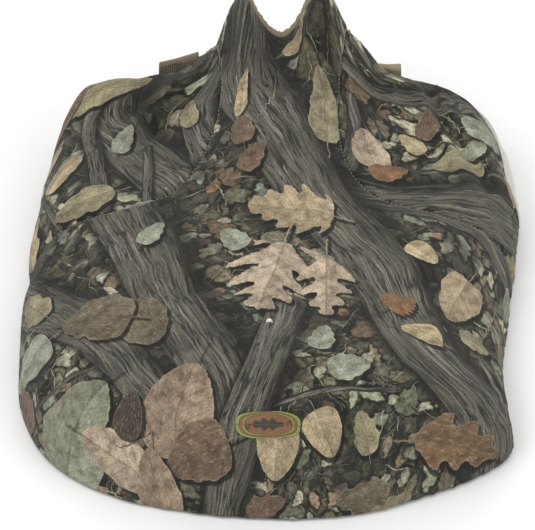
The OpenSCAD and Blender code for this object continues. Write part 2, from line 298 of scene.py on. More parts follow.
def oval(wide, tall, count):
    turn = 2 * math.pi * np.arange(count) / count
    return np.stack([wide * np.cos(turn), tall * np.sin(turn)], axis=1)


def sweep(name, path, ups, sections, closed=False):
    """A tube along a path, through one ring of (side, up) offsets at each of its points."""
    path = np.asarray(path)
    after, before = np.roll(path, -1, axis=0), np.roll(path, 1, axis=0)
    ahead = unit(after - before) if closed else heading(path)
    side = unit(np.cross(ahead, ups))
    up = np.cross(side, ahead)
    sections = np.broadcast_to(sections, (len(path), *np.shape(sections)[-2:]))
    points = (path[:, None] + side[:, None] * sections[:, :, :1] + up[:, None] * sections[:, :, 1:])
    faces = tube_faces(len(path), sections.shape[1], closed=closed)
    return new_mesh(name, points.reshape(-1, 3), faces)


def thread_mesh(name, threads, sides):
    """Separate threads: each is its centre points, their radii, and a side and up direction."""
    points, faces = [], []
    for centres, radii, side, up in threads:
        faces += tube_faces(len(centres), sides, len(points))
        for centre, radius in zip(centres, radii):
            points += [centre + side * a + up * b for a, b in oval(radius, radius, sides)]
    return new_mesh(name, points, faces)


def stitch_row(name, spots, length, radius):
    """Separate stitches: each a small rounded bar that dips in at both ends."""
    t = np.linspace(-1, 1, 5)
    radii = radius * (1 - 0.75 * np.abs(t) ** 3)
    threads = []
    for place, ahead, up in spots:
        centres = place + np.outer(t * length / 2, ahead) - np.outer(radius * 1.2 * t * t, up)
        threads.append((centres, radii, np.cross(ahead, up), up))
    return thread_mesh(name, threads, 6)


# ------------------------------------------------------------------ shape of the cover


def half_width(y):
    """Half width of the hem beside the rider, ahead of the widest place."""
    t = np.clip((y + WIDE_BACK) / (FRONT_Y + WIDE_BACK), 0, 1)
    corner = np.clip((y - FRONT_Y + 0.035) / 0.035, 0, None)
    return WIDTH / 2 + (FRONT_WIDTH - WIDTH) / 2 * t**2.4 - 0.012 * corner**2


def seam_half_width(y):
    """Half width of the centre panel ahead of the kink."""
    s = np.clip((y - KINK_Y) / (FRONT_Y - KINK_Y), 0, 1)
    fall = np.exp(-SEAM_FALL * np.sqrt(s))
    return NOSE_HALF_W + (half_width(y) - NOSE_HALF_W) * fall + SEAM_FLARE * s**6


def height(x, y, r):
    """Height of the CAD cover's outside at share r of the way out to the hem."""
    x = np.abs(x)
    seat = (SEAT_H + DIP_H * ((y + 0.02) / 0.2) ** 2) * np.clip(1 - r**2.8, 0, None) ** (1 / 2.1)
    d = x - PEAK_X
    spread = np.where(d < 0, 0.017, 0.023)
    peak = PEAK_H * bell(y, FRONT_Y, 0.045) * np.exp(-(np.abs(d) / spread) ** 2.6)
    wing = (WING_H + NOSE_H * np.exp(-((x / 0.085) ** 3))) * np.sqrt(np.clip(1 - r**8, 0, None))
    return PANEL_Z + seat + (wing + peak - seat) * smooth((y + 0.03) / 0.19)


def outline(step):
    """Hem points of the right half, evenly spaced from the front corner to the rear centre."""
    y_side = np.linspace(FRONT_Y, -WIDE_BACK, 400)
    turn = np.linspace(0, math.pi / 2, 400)[1:]
    x = np.concatenate([half_width(y_side), WIDTH / 2 * np.cos(turn) ** (2 / REAR_POWER)])
    y = np.concatenate(
        [y_side, -WIDE_BACK + (REAR_Y + WIDE_BACK) * np.sin(turn) ** (2 / REAR_POWER)])
    x[-1] = 0.0
    run = run_along(np.stack([x, y], axis=1))
    at = np.linspace(0, run[-1], int(round(run[-1] / step)) + 1)
    return np.interp(at, run, x), np.interp(at, run, y)


class Grid:
    """The cover's surface as rays from the middle line out to the hem."""

    def __init__(self, step, columns):
        self.cols = columns
        xh, yh = outline(step)
        self.half = len(xh) - 1
        self.rays = 2 * self.half
        spine = np.where(yh > FAN_Y, yh, FAN_Y + (yh - FAN_Y) * FAN_RATIO)
        dense = 1 - (1 - np.linspace(0, 1, 260) ** 0.8) ** 1.4
        x = xh[:, None] * dense
        y = spine[:, None] + (yh - spine)[:, None] * dense
        z = height(x, y, np.broadcast_to(dense, x.shape))
        reach = np.hypot(xh, yh - spine)
        steps = np.hypot(np.diff(reach[:, None] * dense, axis=1), np.diff(z, axis=1))
        run = np.concatenate([np.zeros((len(xh), 1)), np.cumsum(steps, axis=1)], axis=1)
        share = np.linspace(0, 1, columns + 1)
        self.r = np.array([np.interp(share * row[-1], row, dense) for row in run])
        arc = share * run[:, -1:] / np.maximum(reach, 1e-9)[:, None]
        nought = np.zeros_like(spine)
        spine_run = run_along(np.stack([spine, height(nought, spine, nought)], axis=1))
        spine_v = np.interp(0.0, spine[::-1], spine_run[::-1]) - spine_run
        self.u = xh[:, None] * arc
        self.v = spine_v[:, None] + (yh - spine)[:, None] * arc
        self.x = xh[:, None] * self.r
        self.y = spine[:, None] + (yh - spine)[:, None] * self.r
        self.z = height(self.x, self.y, self.r)

    def index(self, ray, col):
        i = ray if ray <= self.half else self.rays - ray
        return i if col == 0 else self.half + 1 + ray * self.cols + col - 1

    def vertices(self, field, odd=False):
        """Values at every vertex, from an array over (station, column) of the right half."""
        flip = -1 if odd else 1
        right = field[:, 1:]
        return np.concatenate([field[:, 0], (right[:-1] * flip).ravel(), right[::-1].ravel()])

    def faces(self):
        return [(self.index(j, k + 1), self.index(j + 1, k + 1), self.index(j + 1, k),
                 self.index(j, k)) for j in range(self.rays) for k in range(self.cols)]


def seam_distance(x, y):
    """Plan distance to the seam: above 0 on a side panel, below 0 on the centre panel."""
    seam_y = KINK_Y + (FRONT_Y - KINK_Y) * np.linspace(0, 1, 500) ** 2
    tree = search_tree(np.stack([seam_half_width(seam_y), seam_y], axis=1))
    x = np.abs(x)
    near = np.array([tree.find((a, b, 0))[2] for a, b in zip(x, y)])
    return np.where((y > KINK_Y) & (x > seam_half_width(y)), near, -near)


def lobe(x, y, start, end, width):
    """A soft ridge of height 1 along a plan line."""
    (ax, ay), (dx, dy) = start, np.subtract(end, start)
    t = np.clip(((x - ax) * dx + (y - ay) * dy) / (dx * dx + dy * dy), 0, 1)
    d = np.hypot(x - ax - t * dx, y - ay - t * dy)
    ends = np.sin(np.pi * np.clip(t * 0.9 + 0.05, 0, 1)) ** 0.5
    return bell(d, 0, width) * ends


def drape(x, y, z, r):
    """How the cloth lies: the nose leans right, and soft folds run over the wings."""
    wide, rightward = np.abs(x), x > 0
    low = smooth((r - 0.55) / 0.4)
    tip = bell(y, FRONT_Y, 0.032) * bell(wide, 0.041, 0.019)
    up = 0.008 * tip + 0.008 * bell(y, FRONT_Y, 0.030) * bell(wide, 0.016, 0.009)
    for start, end, width, lift in FOLDS:
        up += lift * lobe(x, y, start, end, width)
    wing = smooth((wide - 0.092) / 0.030)
    ridge = np.where(rightward, 0.013 * smooth((0.205 - x) / 0.08), 0.020)
    up += ridge * smooth((0.985 - r) / 0.14) * wing * bell(y, 0.252, 0.030)
    turned = FRONT_DROP * np.where(rightward, 1 - smooth((x - 0.190) / 0.03), 1.0)
    up -= turned * wing * smooth((y - FRONT_Y + 0.022) / 0.022) ** 2
    flank = bell(wide, np.where(rightward, 0.0745, 0.082), 0.030) * bell(y, FRONT_Y, 0.050)
    up += np.where(rightward, 0.031, 0.007) * flank
    up -= SKIRT * smooth((r - 0.86) / 0.14)
    across = NOSE_LEAN * smooth((y - 0.02) / 0.24) + 0.003 * np.sign(x) * tip
    swell = smooth((y + 0.17) / 0.08) - 1.25 * bell(y, 0.055, 0.030)
    across -= 0.0048 * low * smooth((-x - 0.12) / 0.08) * swell
    swell = 0.0055 * smooth((y - 0.02) / 0.06) + 0.004 * bell(y, 0.155, 0.035)
    swell -= 0.0065 * smooth((y - 0.14) / 0.07) + 0.0075 * smooth((y - 0.220) / 0.035)
    across += low * smooth((x - 0.12) / 0.08) * swell
    corner = 0.0150 * bell(y, -0.196, 0.032) - 0.012 * bell(y, -0.078, 0.075)
    across += corner * smooth(x / 0.18) * low
    tuck = bell(np.hypot(x + 0.175, y + 0.235), 0, 0.055) * low
    rear = smooth((-y - 0.20) / 0.06)
    ahead = rear * (0.0055 * bell(x, -0.090, 0.050) + 0.0045 * bell(x, 0.150, 0.035))
    return np.stack([x + across + 0.004 * tuck, y + ahead + 0.003 * tuck,
                     np.maximum(z + up, CLOTH_LOW)], axis=1)


def settle(obj, hold):
    """Lets slightly oversize cloth buckle between its held edges. Returns how far it moved."""
    before = coords(obj)
    group = obj.vertex_groups.new(name="hold")
    for level in np.unique(np.round(hold, 2)):
        group.add(np.nonzero(np.round(hold, 2) == level)[0].tolist(), float(level), "REPLACE")
    cloth = obj.modifiers.new("cloth", "CLOTH")
    for key, value in CLOTH.items():
        setattr(cloth.settings, key, value)
    cloth.settings.effector_weights.gravity = 0.0
    cloth.collision_settings.use_collision = False
    cloth.collision_settings.use_self_collision = False
    cloth.point_cache.frame_start = 1
    cloth.point_cache.frame_end = SIM_FRAMES
    for step in range(1, SIM_FRAMES + 1):
        bpy.context.scene.frame_set(step)
    settled = obj.evaluated_get(bpy.context.evaluated_depsgraph_get())
    shift = read(settled.to_mesh().vertices, "co", 3) - before
    settled.to_mesh_clear()
    obj.modifiers.clear()
    bpy.context.scene.frame_set(1)
    size = np.linalg.norm(shift, axis=1, keepdims=True)
    return shift * SIM_CAP * np.tanh(size / SIM_CAP) / np.maximum(size, 1e-9)


def make_cloth():
    """The whole outer surface, settled, with fabric coordinates and seam distance on it."""
    grid = Grid(GRID_STEP, COLUMNS)
    x, u = (grid.vertices(field, odd=True) for field in (grid.x, grid.u))
    y, z, r, v = (grid.vertices(field) for field in (grid.y, grid.z, grid.r, grid.v))
    seam = seam_distance(x, y)
    points = drape(x, y, z, r)
    obj = new_mesh("cloth", points, grid.faces())
    edge = np.maximum(smooth((r - 0.97) / 0.03), smooth((y - FRONT_Y + 0.012) / 0.010))
    hold = np.clip(0.10 + 0.9 * edge + 0.35 * bell(seam, 0, 0.006), 0, 1)
    shift = settle(obj, hold)
    padded = smooth((0.8 - r) / 0.3) * smooth((0.20 - y) / 0.1)
    move_to(obj, points + shift * (1 - 0.35 * padded)[:, None])
    set_vector(obj, "fabric", np.stack([u, v, r], axis=1))
    set_vector(obj, "plan", np.stack([x, y, seam], axis=1))
    modify(obj, "SUBSURF", levels=1)
    cut_at_seam(obj)
    detail_cloth(obj)
    return obj


def cut_at_seam(obj):
    """Splits the faces that the seam crosses, so that it runs along edges."""
    with edit(obj) as bm:
        plan = bm.verts.layers.float_vector["plan"]
        made = set()
        for e in [e for e in bm.edges if (e.verts[0][plan].z < 0) != (e.verts[1][plan].z < 0)]:
            a, b = e.verts
            fa, fb = a[plan].z, b[plan].z
            if fa == 0 or fb == 0:
                continue
            share = fa / (fa - fb)
            if share < 0.12:
                vert = a
            elif share > 0.88:
                vert = b
            else:
                vert = bmesh.utils.edge_split(e, a, share)[1]
            vert[plan].z = 0.0
            made.add(vert)
        for face in {f for v in made for f in v.link_faces}:
            on = [v for v in face.verts if v in made]
            if len(on) == 2 and not bm.edges.get(on):
                bmesh.utils.face_split(face, on[0], on[1])


def panel_of(face, plan):
    """Which panel a face is on: 0 for the centre, or the side."""
    if sum(v[plan].z for v in face.verts) < 0:
        return 0
    return 1 if sum(v[plan].x for v in face.verts) > 0 else -1


def take_panel(obj, name, side):
    """A copy of the cloth with one panel's faces."""
    part = add_object(name, obj.data.copy())
    with edit(part) as bm:
        plan = bm.verts.layers.float_vector["plan"]
        drop = [face for face in bm.faces if panel_of(face, plan) != side]
        bmesh.ops.delete(bm, geom=drop, context="FACES")
    return part


def round_cover(plan):
    """Angle round the cover from its rear, clockwise seen from below."""
    return np.arctan2(plan[:, 0], -(plan[:, 1] + 0.05))


def detail_cloth(obj):
    """Seam groove, puckers beside it, and gathers at the elastic hem."""
    p, n = coords(obj), normals(obj)
    u, v, r = get_vector(obj, "fabric").T
    plan = get_vector(obj, "plan")
    seam = plan[:, 2]
    lift = -0.0014 * bell(seam, 0, 0.0026)
    lift = lift + wander(u, v, 120, 2.0) * 0.0011 * bell(seam, 0, 0.011)
    near_hem = np.maximum(smooth((r - 0.93) / 0.07),
                          0.6 * smooth((plan[:, 1] - FRONT_Y + 0.020) / 0.020))
    arc = round_cover(plan) * 0.22 + plan[:, 1]
    lift += wander(arc * 95, p[:, 2] * 12, 1, 5.0) * 0.0016 * near_hem
    lift += wander(u, v, 14, 8.0) * 0.0016
    move_to(obj, p + n * lift[:, None])


class FabricMap:
    """Finds where a point of the flat fabric lies on the finished cloth."""

    def __init__(self, obj):
        self.place = coords(obj)
        self.normal = normals(obj)
        obj.data.calc_loop_triangles()
        self.tris = [tuple(t.vertices) for t in obj.data.loop_triangles]
        self.flat = [Vector((a, b, 0)) for a, b in get_vector(obj, "fabric")[:, :2]]
        self.tree = BVHTree.FromPolygons(self.flat, self.tris)

    def at(self, u, v, lift=0.0):
        spot, _, face, _ = self.tree.find_nearest(Vector((u, v, 0)))
        ids = self.tris[face]
        a, b, c = (self.flat[i] for i in ids)
        area = (b - a).cross(c - a).z
        wb = (spot - a).cross(c - a).z / area
        wc = (b - a).cross(spot - a).z / area
        weights = np.array([1 - wb - wc, wb, wc])
        up = unit(weights @ self.normal[list(ids)])
        return weights @ self.place[list(ids)] + up * lift, up


# ------------------------------------------------------------------ the print

TINTS = {
    "tan": (0.45, 0.36, 0.23), "pink": (0.34, 0.25, 0.18), "blush": (0.51, 0.41, 0.30),
    "sage": (0.285, 0.305, 0.225), "olive": (0.155, 0.130, 0.085), "brown": (0.170, 0.110, 0.075),
    "dusk": (0.060, 0.045, 0.038), "rust": (0.26, 0.14, 0.06), "fern": (0.205, 0.125, 0.065),
    "cream": (0.56, 0.46, 0.28), "pale": (0.34, 0.37, 0.29), "khaki": (0.31, 0.28, 0.17),
}
# Leaves of each panel, layer by layer: (u, v, length, direction in degrees, width share,
# lobe depth, lobe count, tint), lengths in millimetres on the flat fabric. A layer's leaves
# stay clear of each other.
LEAVES = {
    0: (
        (
            (22, 32, 90, 172, 0.31, 0.34, 4.0, "tan"), (-94, -252, 104, 68, 0.38, 0, 3.0, "pink"),
            (-224, -236, 128, 30, 0.36, 0.1, 2.0, "sage"),
            (-128, -132, 74, -65, 0.4, 0.06, 3.0, "olive"), (9, -300, 60, -96, 0.4, 0, 3.0, "tan"),
            (214, -250, 108, 18, 0.2, 0.4, 3.4, "fern"),
            (205, -62, 74, 250, 0.36, 0.06, 3.0, "tan"),
            (158, -140, 50, 176, 0.32, 0.04, 3.0, "cream"),
            (50, 180, 95, 100, 0.19, 0.1, 3.0, "khaki"),
            (-40, 195, 60, 86, 0.11, 0.14, 2.0, "cream"),
            (128, -335, 72, 196, 0.28, 0.2, 3.4, "olive"),
            (-262, -118, 66, 200, 0.4, 0.1, 2.0, "pale"),
            (-250, -40, 60, 120, 0.26, 0.16, 3.0, "khaki"),
            (265, -330, 70, 120, 0.28, 0.2, 3.0, "olive"),
            (-20, 100, 40, 60, 0.3, 0.12, 3.0, "brown"),
            (290, -90, 75, 250, 0.28, 0.2, 3.0, "olive"), (287, 6, 52, 262, 0.26, 0.1, 3.0, "sage"),
        ),
        (
            (2, -72, 112, 256, 0.29, 0.8, 4.0, "blush"),
            (-84, -300, 80, 196, 0.36, 0.05, 3.0, "brown"),
            (-183, -276, 90, 128, 0.3, 0.04, 3.0, "blush"),
            (-176, -108, 82, 160, 0.36, 0.08, 3.0, "olive"),
            (62, -278, 48, -58, 0.42, 0, 3.0, "tan"), (134, -98, 40, 40, 0.4, 0.22, 5.0, "rust"),
            (158, -12, 40, -40, 0.38, 0, 3.0, "cream"), (82, -205, 44, 20, 0.34, 0.12, 3.0, "pale"),
            (-34, 140, 42, 100, 0.3, 0.1, 3.0, "brown"),
            (175, -345, 70, 60, 0.3, 0.16, 3.0, "khaki"),
            (-245, -320, 70, 60, 0.3, 0.16, 3.0, "tan"),
            (-285, -160, 60, 90, 0.3, 0.16, 3.0, "brown"),
            (300, -170, 60, 30, 0.26, 0.16, 3.0, "brown"), (20, 262, 40, 30, 0.22, 0.2, 3.0, "tan"),
        ),
        (
            (58, -84, 98, 270, 0.2, 0.74, 3.6, "blush"),
            (-148, -322, 82, 74, 0.36, 0.04, 3.0, "pink"),
            (-150, -246, 46, 60, 0.36, 0, 3.0, "dusk"), (-36, -12, 34, 130, 0.4, 0.1, 3.0, "pale"),
            (54, -168, 36, 80, 0.36, 0.12, 3.0, "pale"),
            (230, -110, 44, 10, 0.28, 0.14, 3.0, "khaki"),
            (-5, -362, 60, 20, 0.26, 0.16, 3.0, "brown"),
            (105, -272, 42, 120, 0.3, 0.12, 3.0, "khaki"),
            (-120, 10, 40, 60, 0.28, 0.14, 3.0, "pale"),
        ),
    ),
    -1: (
        (
            (-222, 246, 56, 6, 0.34, 0.12, 3.0, "khaki"),
            (-200, 85, 66, 200, 0.3, 0.12, 3.0, "khaki"),
            (-66, 130, 46, 80, 0.3, 0.1, 3.0, "brown"), (-275, 90, 60, 70, 0.3, 0.18, 3.0, "tan"),
            (-315, 230, 60, 120, 0.3, 0.18, 3.0, "brown"),
            (-140, 62, 40, 30, 0.26, 0.12, 3.0, "pale"),
        ),
        (
            (-268, 238, 54, 150, 0.34, 0.06, 3.0, "brown"),
            (-230, 150, 50, 40, 0.32, 0.08, 3.0, "tan"),
            (-235, 45, 52, 160, 0.3, 0.16, 3.0, "brown"),
            (-105, 205, 50, 110, 0.2, 0.1, 3.0, "khaki"),
            (-60, 95, 36, 100, 0.22, 0.1, 3.0, "cream"),
        ),
        (
            (-255, 190, 40, 20, 0.32, 0.1, 3.0, "blush"),
            (-170, 180, 36, 70, 0.24, 0.1, 3.0, "pale"),
        ),
    ),
    1: (
        (
            (106, 150, 56, 112, 0.38, 0.06, 3.0, "blush"),
            (235, 215, 56, 10, 0.3, 0.14, 3.0, "pale"), (290, 60, 60, 80, 0.3, 0.16, 3.0, "khaki"),
            (170, 205, 44, 60, 0.28, 0.12, 3.0, "brown"), (225, 5, 50, 20, 0.3, 0.12, 3.0, "tan"),
        ),
        (
            (128, 122, 46, 30, 0.3, 0.12, 3.0, "rust"), (195, 150, 50, 200, 0.3, 0.1, 3.0, "khaki"),
            (262, 170, 56, 100, 0.28, 0.12, 3.0, "tan"),
        ),
        (
            (150, 175, 34, 140, 0.3, 0.1, 3.0, "cream"), (215, 182, 34, 40, 0.28, 0.1, 3.0, "pale"),
        ),
    ),
}
# Trunks and branches: centre-line points (u, v) and the half width at each end, in millimetres
TRUNKS = {
    0: (
        (
            (((-190, 140), (-132, 4), (-98, -108), (-50, -225), (-30, -300)), 36, 34),
            (((80, 75), (180, 70), (290, 30)), 20, 22),
        ),
        (
            (((-360, 60), (-286, 10), (-222, -70), (-164, -150), (-120, -235)), 30, 24),
            (((-52, 310), (-42, 235), (12, 125), (64, 35), (115, -45), (168, -165), (262, -220),
              (360, -270)), 36, 46),
            (((2, -256), (60, -236), (127, -226)), 2.2, 3.2),
        ),
        (
            (((22, -110), (-3, -208), (-32, -284), (-72, -368), (-100, -430)), 19, 30),
            (((-330, -170), (-260, -182), (-180, -176)), 3.4, 2.4),
            (((235, -130), (262, -190)), 4, 5),
        ),
    ),
    -1: (
        (
            (((-285, 310), (-206, 226), (-136, 136), (-74, 60), (-30, 0)), 26, 36),
        ),
        (
            (((-222, 260), (-210, 213), (-188, 120), (-165, 22)), 7, 9),
            (((-80, 330), (-92, 230), (-78, 150), (-40, 70)), 20, 24),
        ),
        (
            (((-146, 172), (-141, 134), (-121, 9)), 4, 6),
            (((-300, 180), (-250, 120), (-210, 20)), 3, 4),
        ),
    ),
    1: (
        (
            (((40, 85), (105, 68), (180, 82), (250, 100), (330, 140)), 30, 36),
        ),
        (
            (((60, 250), (96, 240), (180, 236), (264, 256)), 7, 10),
            (((85, 215), (88, 150), (84, 110)), 8, 10),
        ),
        (
            (((150, 130), (220, 145), (300, 190)), 3, 4),
        ),
    ),
}
PRINT_LAYERS = 3
PANEL_SHIFT = 1.3
SHADOW_SHIFT = (0.0032, -0.0046)
LEAF_REACH = 0.80
TRUNK_REACH = 2.2
NO_TRUNK = -1000.0
FAR = 5.0


def spline(points, count=90):
    """Evenly spread points along a smooth curve through given ones."""
    p = np.array(points) / 1000
    p = np.concatenate([[2 * p[0] - p[1]], p, [2 * p[-1] - p[-2]]])
    out = []
    for q in range(1, len(p) - 2):
        t = np.linspace(0, 1, count, endpoint=q == len(p) - 3)[:, None]
        out.append((2 * p[q] + (p[q + 1] - p[q - 1]) * t
                    + (2 * p[q - 1] - 5 * p[q] + 4 * p[q + 1] - p[q + 2]) * t * t
                    + (3 * p[q] - p[q - 1] - 3 * p[q + 1] + p[q + 2]) * t**3) / 2)
    return np.concatenate(out)


def print_leaves(obj, uv, layers):
    """Leaf-local coordinates, shape, tint and shadow of each layer's nearest leaf."""
    for layer, leaves in enumerate(layers):
        at, kind, tint, cast = (np.zeros((len(uv), 3), dtype=np.float32) for _ in range(4))
        at[:, 1] = FAR
        best = np.full(len(uv), np.inf)
        for u, v, size, turn, share, depth, count, name in leaves:
            size = size / 1000
            c, s = math.cos(math.radians(turn)), math.sin(math.radians(turn))
            du, dv = uv[:, 0] - u / 1000, uv[:, 1] - v / 1000
            along = (du * c + dv * s) / size + 0.5
            across = (-du * s + dv * c) / size
            away = np.hypot(along - 0.5, across)
            mine = (away < LEAF_REACH) & (away < best)
            best[mine] = away[mine]
            at[mine] = np.stack([along, across, np.ones_like(along)], axis=1)[mine]
            kind[mine] = (share, depth, count)
            tint[mine] = TINTS[name]
            sx, sy = SHADOW_SHIFT
            cast[mine] = ((sx * c + sy * s) / size, (-sx * s + sy * c) / size, 0.0)
        for name, values in (("leaf", at), ("kind", kind), ("tint", tint), ("cast", cast)):
            set_vector(obj, f"{name}{layer}", values)


def print_trunks(obj, uv, layers):
    """Distance across each trunk in half widths, and along it in metres."""
    for layer, trunks in enumerate(layers):
        value = np.tile((FAR, NO_TRUNK, 0.0), (len(uv), 1))
        best = np.full(len(uv), np.inf)
        for q, (points, first, last) in enumerate(trunks):
            first, last = first / 1000, last / 1000
            line = spline(points)
            tree = search_tree(line)
            run = run_along(line)
            ahead = heading(line)
            reach = TRUNK_REACH * max(first, last)
            near = (uv > line.min(axis=0) - reach) & (uv < line.max(axis=0) + reach)
            for i in np.nonzero(np.all(near, axis=1))[0]:
                _, k, far = tree.find((*uv[i], 0))
                wide = first + (last - first) * k / (len(line) - 1)
                offset = uv[i] - line[k]
                ahead_by = float(offset @ ahead[k])
                cross = ahead[k, 0] * offset[1] - ahead[k, 1] * offset[0]
                if k in (0, len(line) - 1):
                    far = math.hypot(cross, 2.5 * ahead_by)
                across = far / wide
                if across < TRUNK_REACH and across < best[i]:
                    best[i] = across
                    value[i] = (math.copysign(across, cross), run[k] + ahead_by + 0.7 * q, wide)
        set_vector(obj, f"trunk{layer}", value)


def add_print(obj, side, uv=None):
    """Prints one piece from its panel's lists. Each panel has its own stretch of the cloth."""
    if uv is None:
        uv = get_vector(obj, "fabric")[:, :2].astype(np.float64)
    print_leaves(obj, uv, LEAVES[side])
    print_trunks(obj, uv, TRUNKS[side])
    place = np.column_stack([uv, np.zeros(len(uv))])
    place[:, 0] += PANEL_SHIFT * side
    set_vector(obj, "print", place)


# ------------------------------------------------------------------ materials


class Field:
    """A node's output, which ordinary arithmetic works on. Its parts are x, y and z."""

    def __init__(self, graph, socket):
        self.graph, self.socket, self.parts = graph, socket, None

    def __add__(self, other):
        return self.graph.math("ADD", self, other)

    def __sub__(self, other):
        return self.graph.math("SUBTRACT", self, other)

    def __rsub__(self, other):
        return self.graph.math("SUBTRACT", other, self)

    def __mul__(self, other):
        return self.graph.math("MULTIPLY", self, other)

    def __truediv__(self, other):
        return self.graph.math("DIVIDE", self, other)

    def __pow__(self, other):
        return self.graph.math("POWER", self, other)

    def __abs__(self):
        return self.graph.math("ABSOLUTE", self)

    def __getitem__(self, axis):
        if self.parts is None:
            split = self.graph.node("SeparateXYZ", {0: self})
            self.parts = [Field(self.graph, socket) for socket in split.outputs]
        return self.parts[axis]

    __radd__ = __add__
    __rmul__ = __mul__


def rgba(colour):
    """A colour or a grey, with alpha. Fields pass through."""
    if isinstance(colour, float):
        colour = (colour,) * 3
    return (*colour, 1.0) if isinstance(colour, tuple) else colour


class Graph:
    """Short calls for building a node tree. They take Fields or constants."""

    def __init__(self, tree):
        self.tree = tree

    def node(self, kind, inputs=None, **props):
        made = self.tree.nodes.new("ShaderNode" + kind)
        for key, value in props.items():
            setattr(made, key, value)
        for key, value in (inputs or {}).items():
            if value is not None:
                self.put(value, made.inputs[key])
        return made

    def put(self, value, socket):
        if isinstance(value, Field):
            self.tree.links.new(value.socket, socket)
        else:
            socket.default_value = value

    def out(self, kind, inputs=None, give=0, **props):
        return Field(self, self.node(kind, inputs, **props).outputs[give])

    def math(self, op, a, b=None):
        return self.out("Math", {0: a, 1: b}, operation=op)

    def vector(self, op, a, b=None, scale=None):
        return self.out("VectorMath", {0: a, 1: b, "Scale": scale}, operation=op)

    def mix(self, share, a, b, mode="MIX"):
        return self.out("Mix", {0: share, 6: rgba(a), 7: rgba(b)}, 2,
                        data_type="RGBA", blend_type=mode)

    def ramp(self, value, *stops):
        n = self.node("ValToRGB", {0: value})
        bar = n.color_ramp.elements
        while len(bar) < len(stops):
            bar.new(0.5)
        for element, (place, colour) in zip(bar, stops):
            element.position = place
            element.color = rgba(colour)
        return Field(self, n.outputs[0])

    def noise(self, where, scale, detail=3.0, rough=0.55, warp=0.0, give="Fac"):
        return self.out("TexNoise", {"Vector": where, "Scale": scale, "Detail": detail,
                                     "Roughness": rough, "Distortion": warp}, give)

    def band(self, value, low, high):
        """0 below low, 1 above high, smooth between."""
        return self.out("MapRange", {"Value": value, "From Min": low, "From Max": high},
                        "Result", interpolation_type="SMOOTHSTEP")

    def join(self, x, y, z=0.0):
        return self.out("CombineXYZ", {0: x, 1: y, 2: z})

    def attribute(self, name):
        return self.out("Attribute", give="Vector", attribute_name=name)

    def place(self):
        return self.out("TexCoord", give="Object")

    def use(self, group, *values):
        n = self.node("Group", node_tree=group)
        for value, socket in zip(values, n.inputs):
            self.put(value, socket)
        return [Field(self, socket) for socket in n.outputs]


VECTOR, FLOAT, COLOUR = "NodeSocketVector", "NodeSocketFloat", "NodeSocketColor"


def new_group(name, inputs, outputs):
    group = bpy.data.node_groups.new(name, "ShaderNodeTree")
    for in_out, sockets in (("INPUT", inputs), ("OUTPUT", outputs)):
        for label, kind in sockets.items():
            group.interface.new_socket(label, in_out=in_out, socket_type=kind)
    g = Graph(group)
    start = group.nodes.new("NodeGroupInput")
    end = group.nodes.new("NodeGroupOutput")
    return group, g, [Field(g, socket) for socket in start.outputs if socket.name], end.inputs


def leaf_group():
    """Distance inside a leaf's edge, in leaf lengths, and its veins."""
    group, g, (at, kind, *_), result = new_group(
        "leaf", {"At": VECTOR, "Kind": VECTOR}, {"Inside": FLOAT, "Veins": FLOAT})
    across = abs(at[1])
    t = g.math("MINIMUM", g.math("MAXIMUM", at[0], 0.0), 1.0)
    early = t ** 0.80
    body = g.math("SQRT", early * (1.0 - early)) * (2.40 - t * 0.85)
    turns = (t - across * 0.80) * kind[2]
    wave = g.math("SINE", turns * (2 * math.pi))
    teeth = g.math("PINGPONG", turns, 0.5) * 4.0 - 1.0
    lobes = (wave * 0.45 + teeth * 0.55) * kind[1] + 1.0
    inside = body * kind[0] * lobes - across
    on_stem = g.band(at[0], -0.26, -0.24) * (1.0 - g.band(at[0], 0.05, 0.08))
    stem = 0.012 - across - (1.0 - on_stem)
    g.put(g.math("MAXIMUM", inside, stem), result["Inside"])
    ribs = g.math("PINGPONG", (at[0] - across * 0.9) * 7.0, 0.5)
    ribs = 1.0 - g.band(ribs, 0.0, 0.13)
    middle = 1.0 - g.band(across, 0.003, 0.016)
    g.put(g.math("MAXIMUM", ribs * 0.62, middle), result["Veins"])
    return group


def bark_group():
    """Furrowed bark from (across, along, half width): its colour, and where it covers."""
    group, g, (at, *_), result = new_group(
        "bark", {"At": VECTOR}, {"Color": COLOUR, "Cover": FLOAT})
    furrow = (0.018, 0.017, 0.015)

    def strands(offset, across, along, detail, rough=0.55, warp=0.0):
        return g.noise(g.join(offset * across, at[1] * along), 1.0, detail, rough, warp)

    side = at[0] * at[2]
    flow = strands(side, 16.0, 11.0, 2.0)
    bent = side + (flow - 0.5) * 0.018
    grain = strands(bent, 300.0, 11.0, 3.0, 0.6)
    colour = g.ramp(grain, (0.30, (0.056, 0.050, 0.040)), (0.43, (0.098, 0.090, 0.071)),
                    (0.55, (0.155, 0.145, 0.116)), (0.68, (0.285, 0.268, 0.216)))
    deep = abs(strands(bent, 120.0, 8.0, 4.0) - 0.5)
    colour = g.mix(g.band(deep, 0.042, 0.003), colour, furrow)
    fine = abs(strands(bent, 340.0, 26.0, 3.0, 0.6, 0.6) - 0.5)
    colour = g.mix(g.band(fine, 0.050, 0.0) * 0.62, colour, furrow)
    patch = g.noise(g.join(side, at[1]), 26.0)
    colour = g.mix(g.band(patch, 0.50, 0.68) * 0.40, colour, (0.105, 0.098, 0.070))
    colour = g.mix(g.band(patch, 0.48, 0.30) * 0.55, colour, (0.036, 0.034, 0.031))
    shade = g.math("MAXIMUM", 1.12 - abs(at[0] + 0.22) ** 2.4 * 0.62, 0.16)
    g.put(g.mix(1.0, colour, g.join(shade, shade, shade), "MULTIPLY"), result["Color"])
    ragged = abs(at[0]) + (flow - 0.5) * 0.22 + (grain - 0.5) * 0.10
    g.put(1.0 - g.band(ragged, 0.955, 1.00), result["Cover"])
    return group


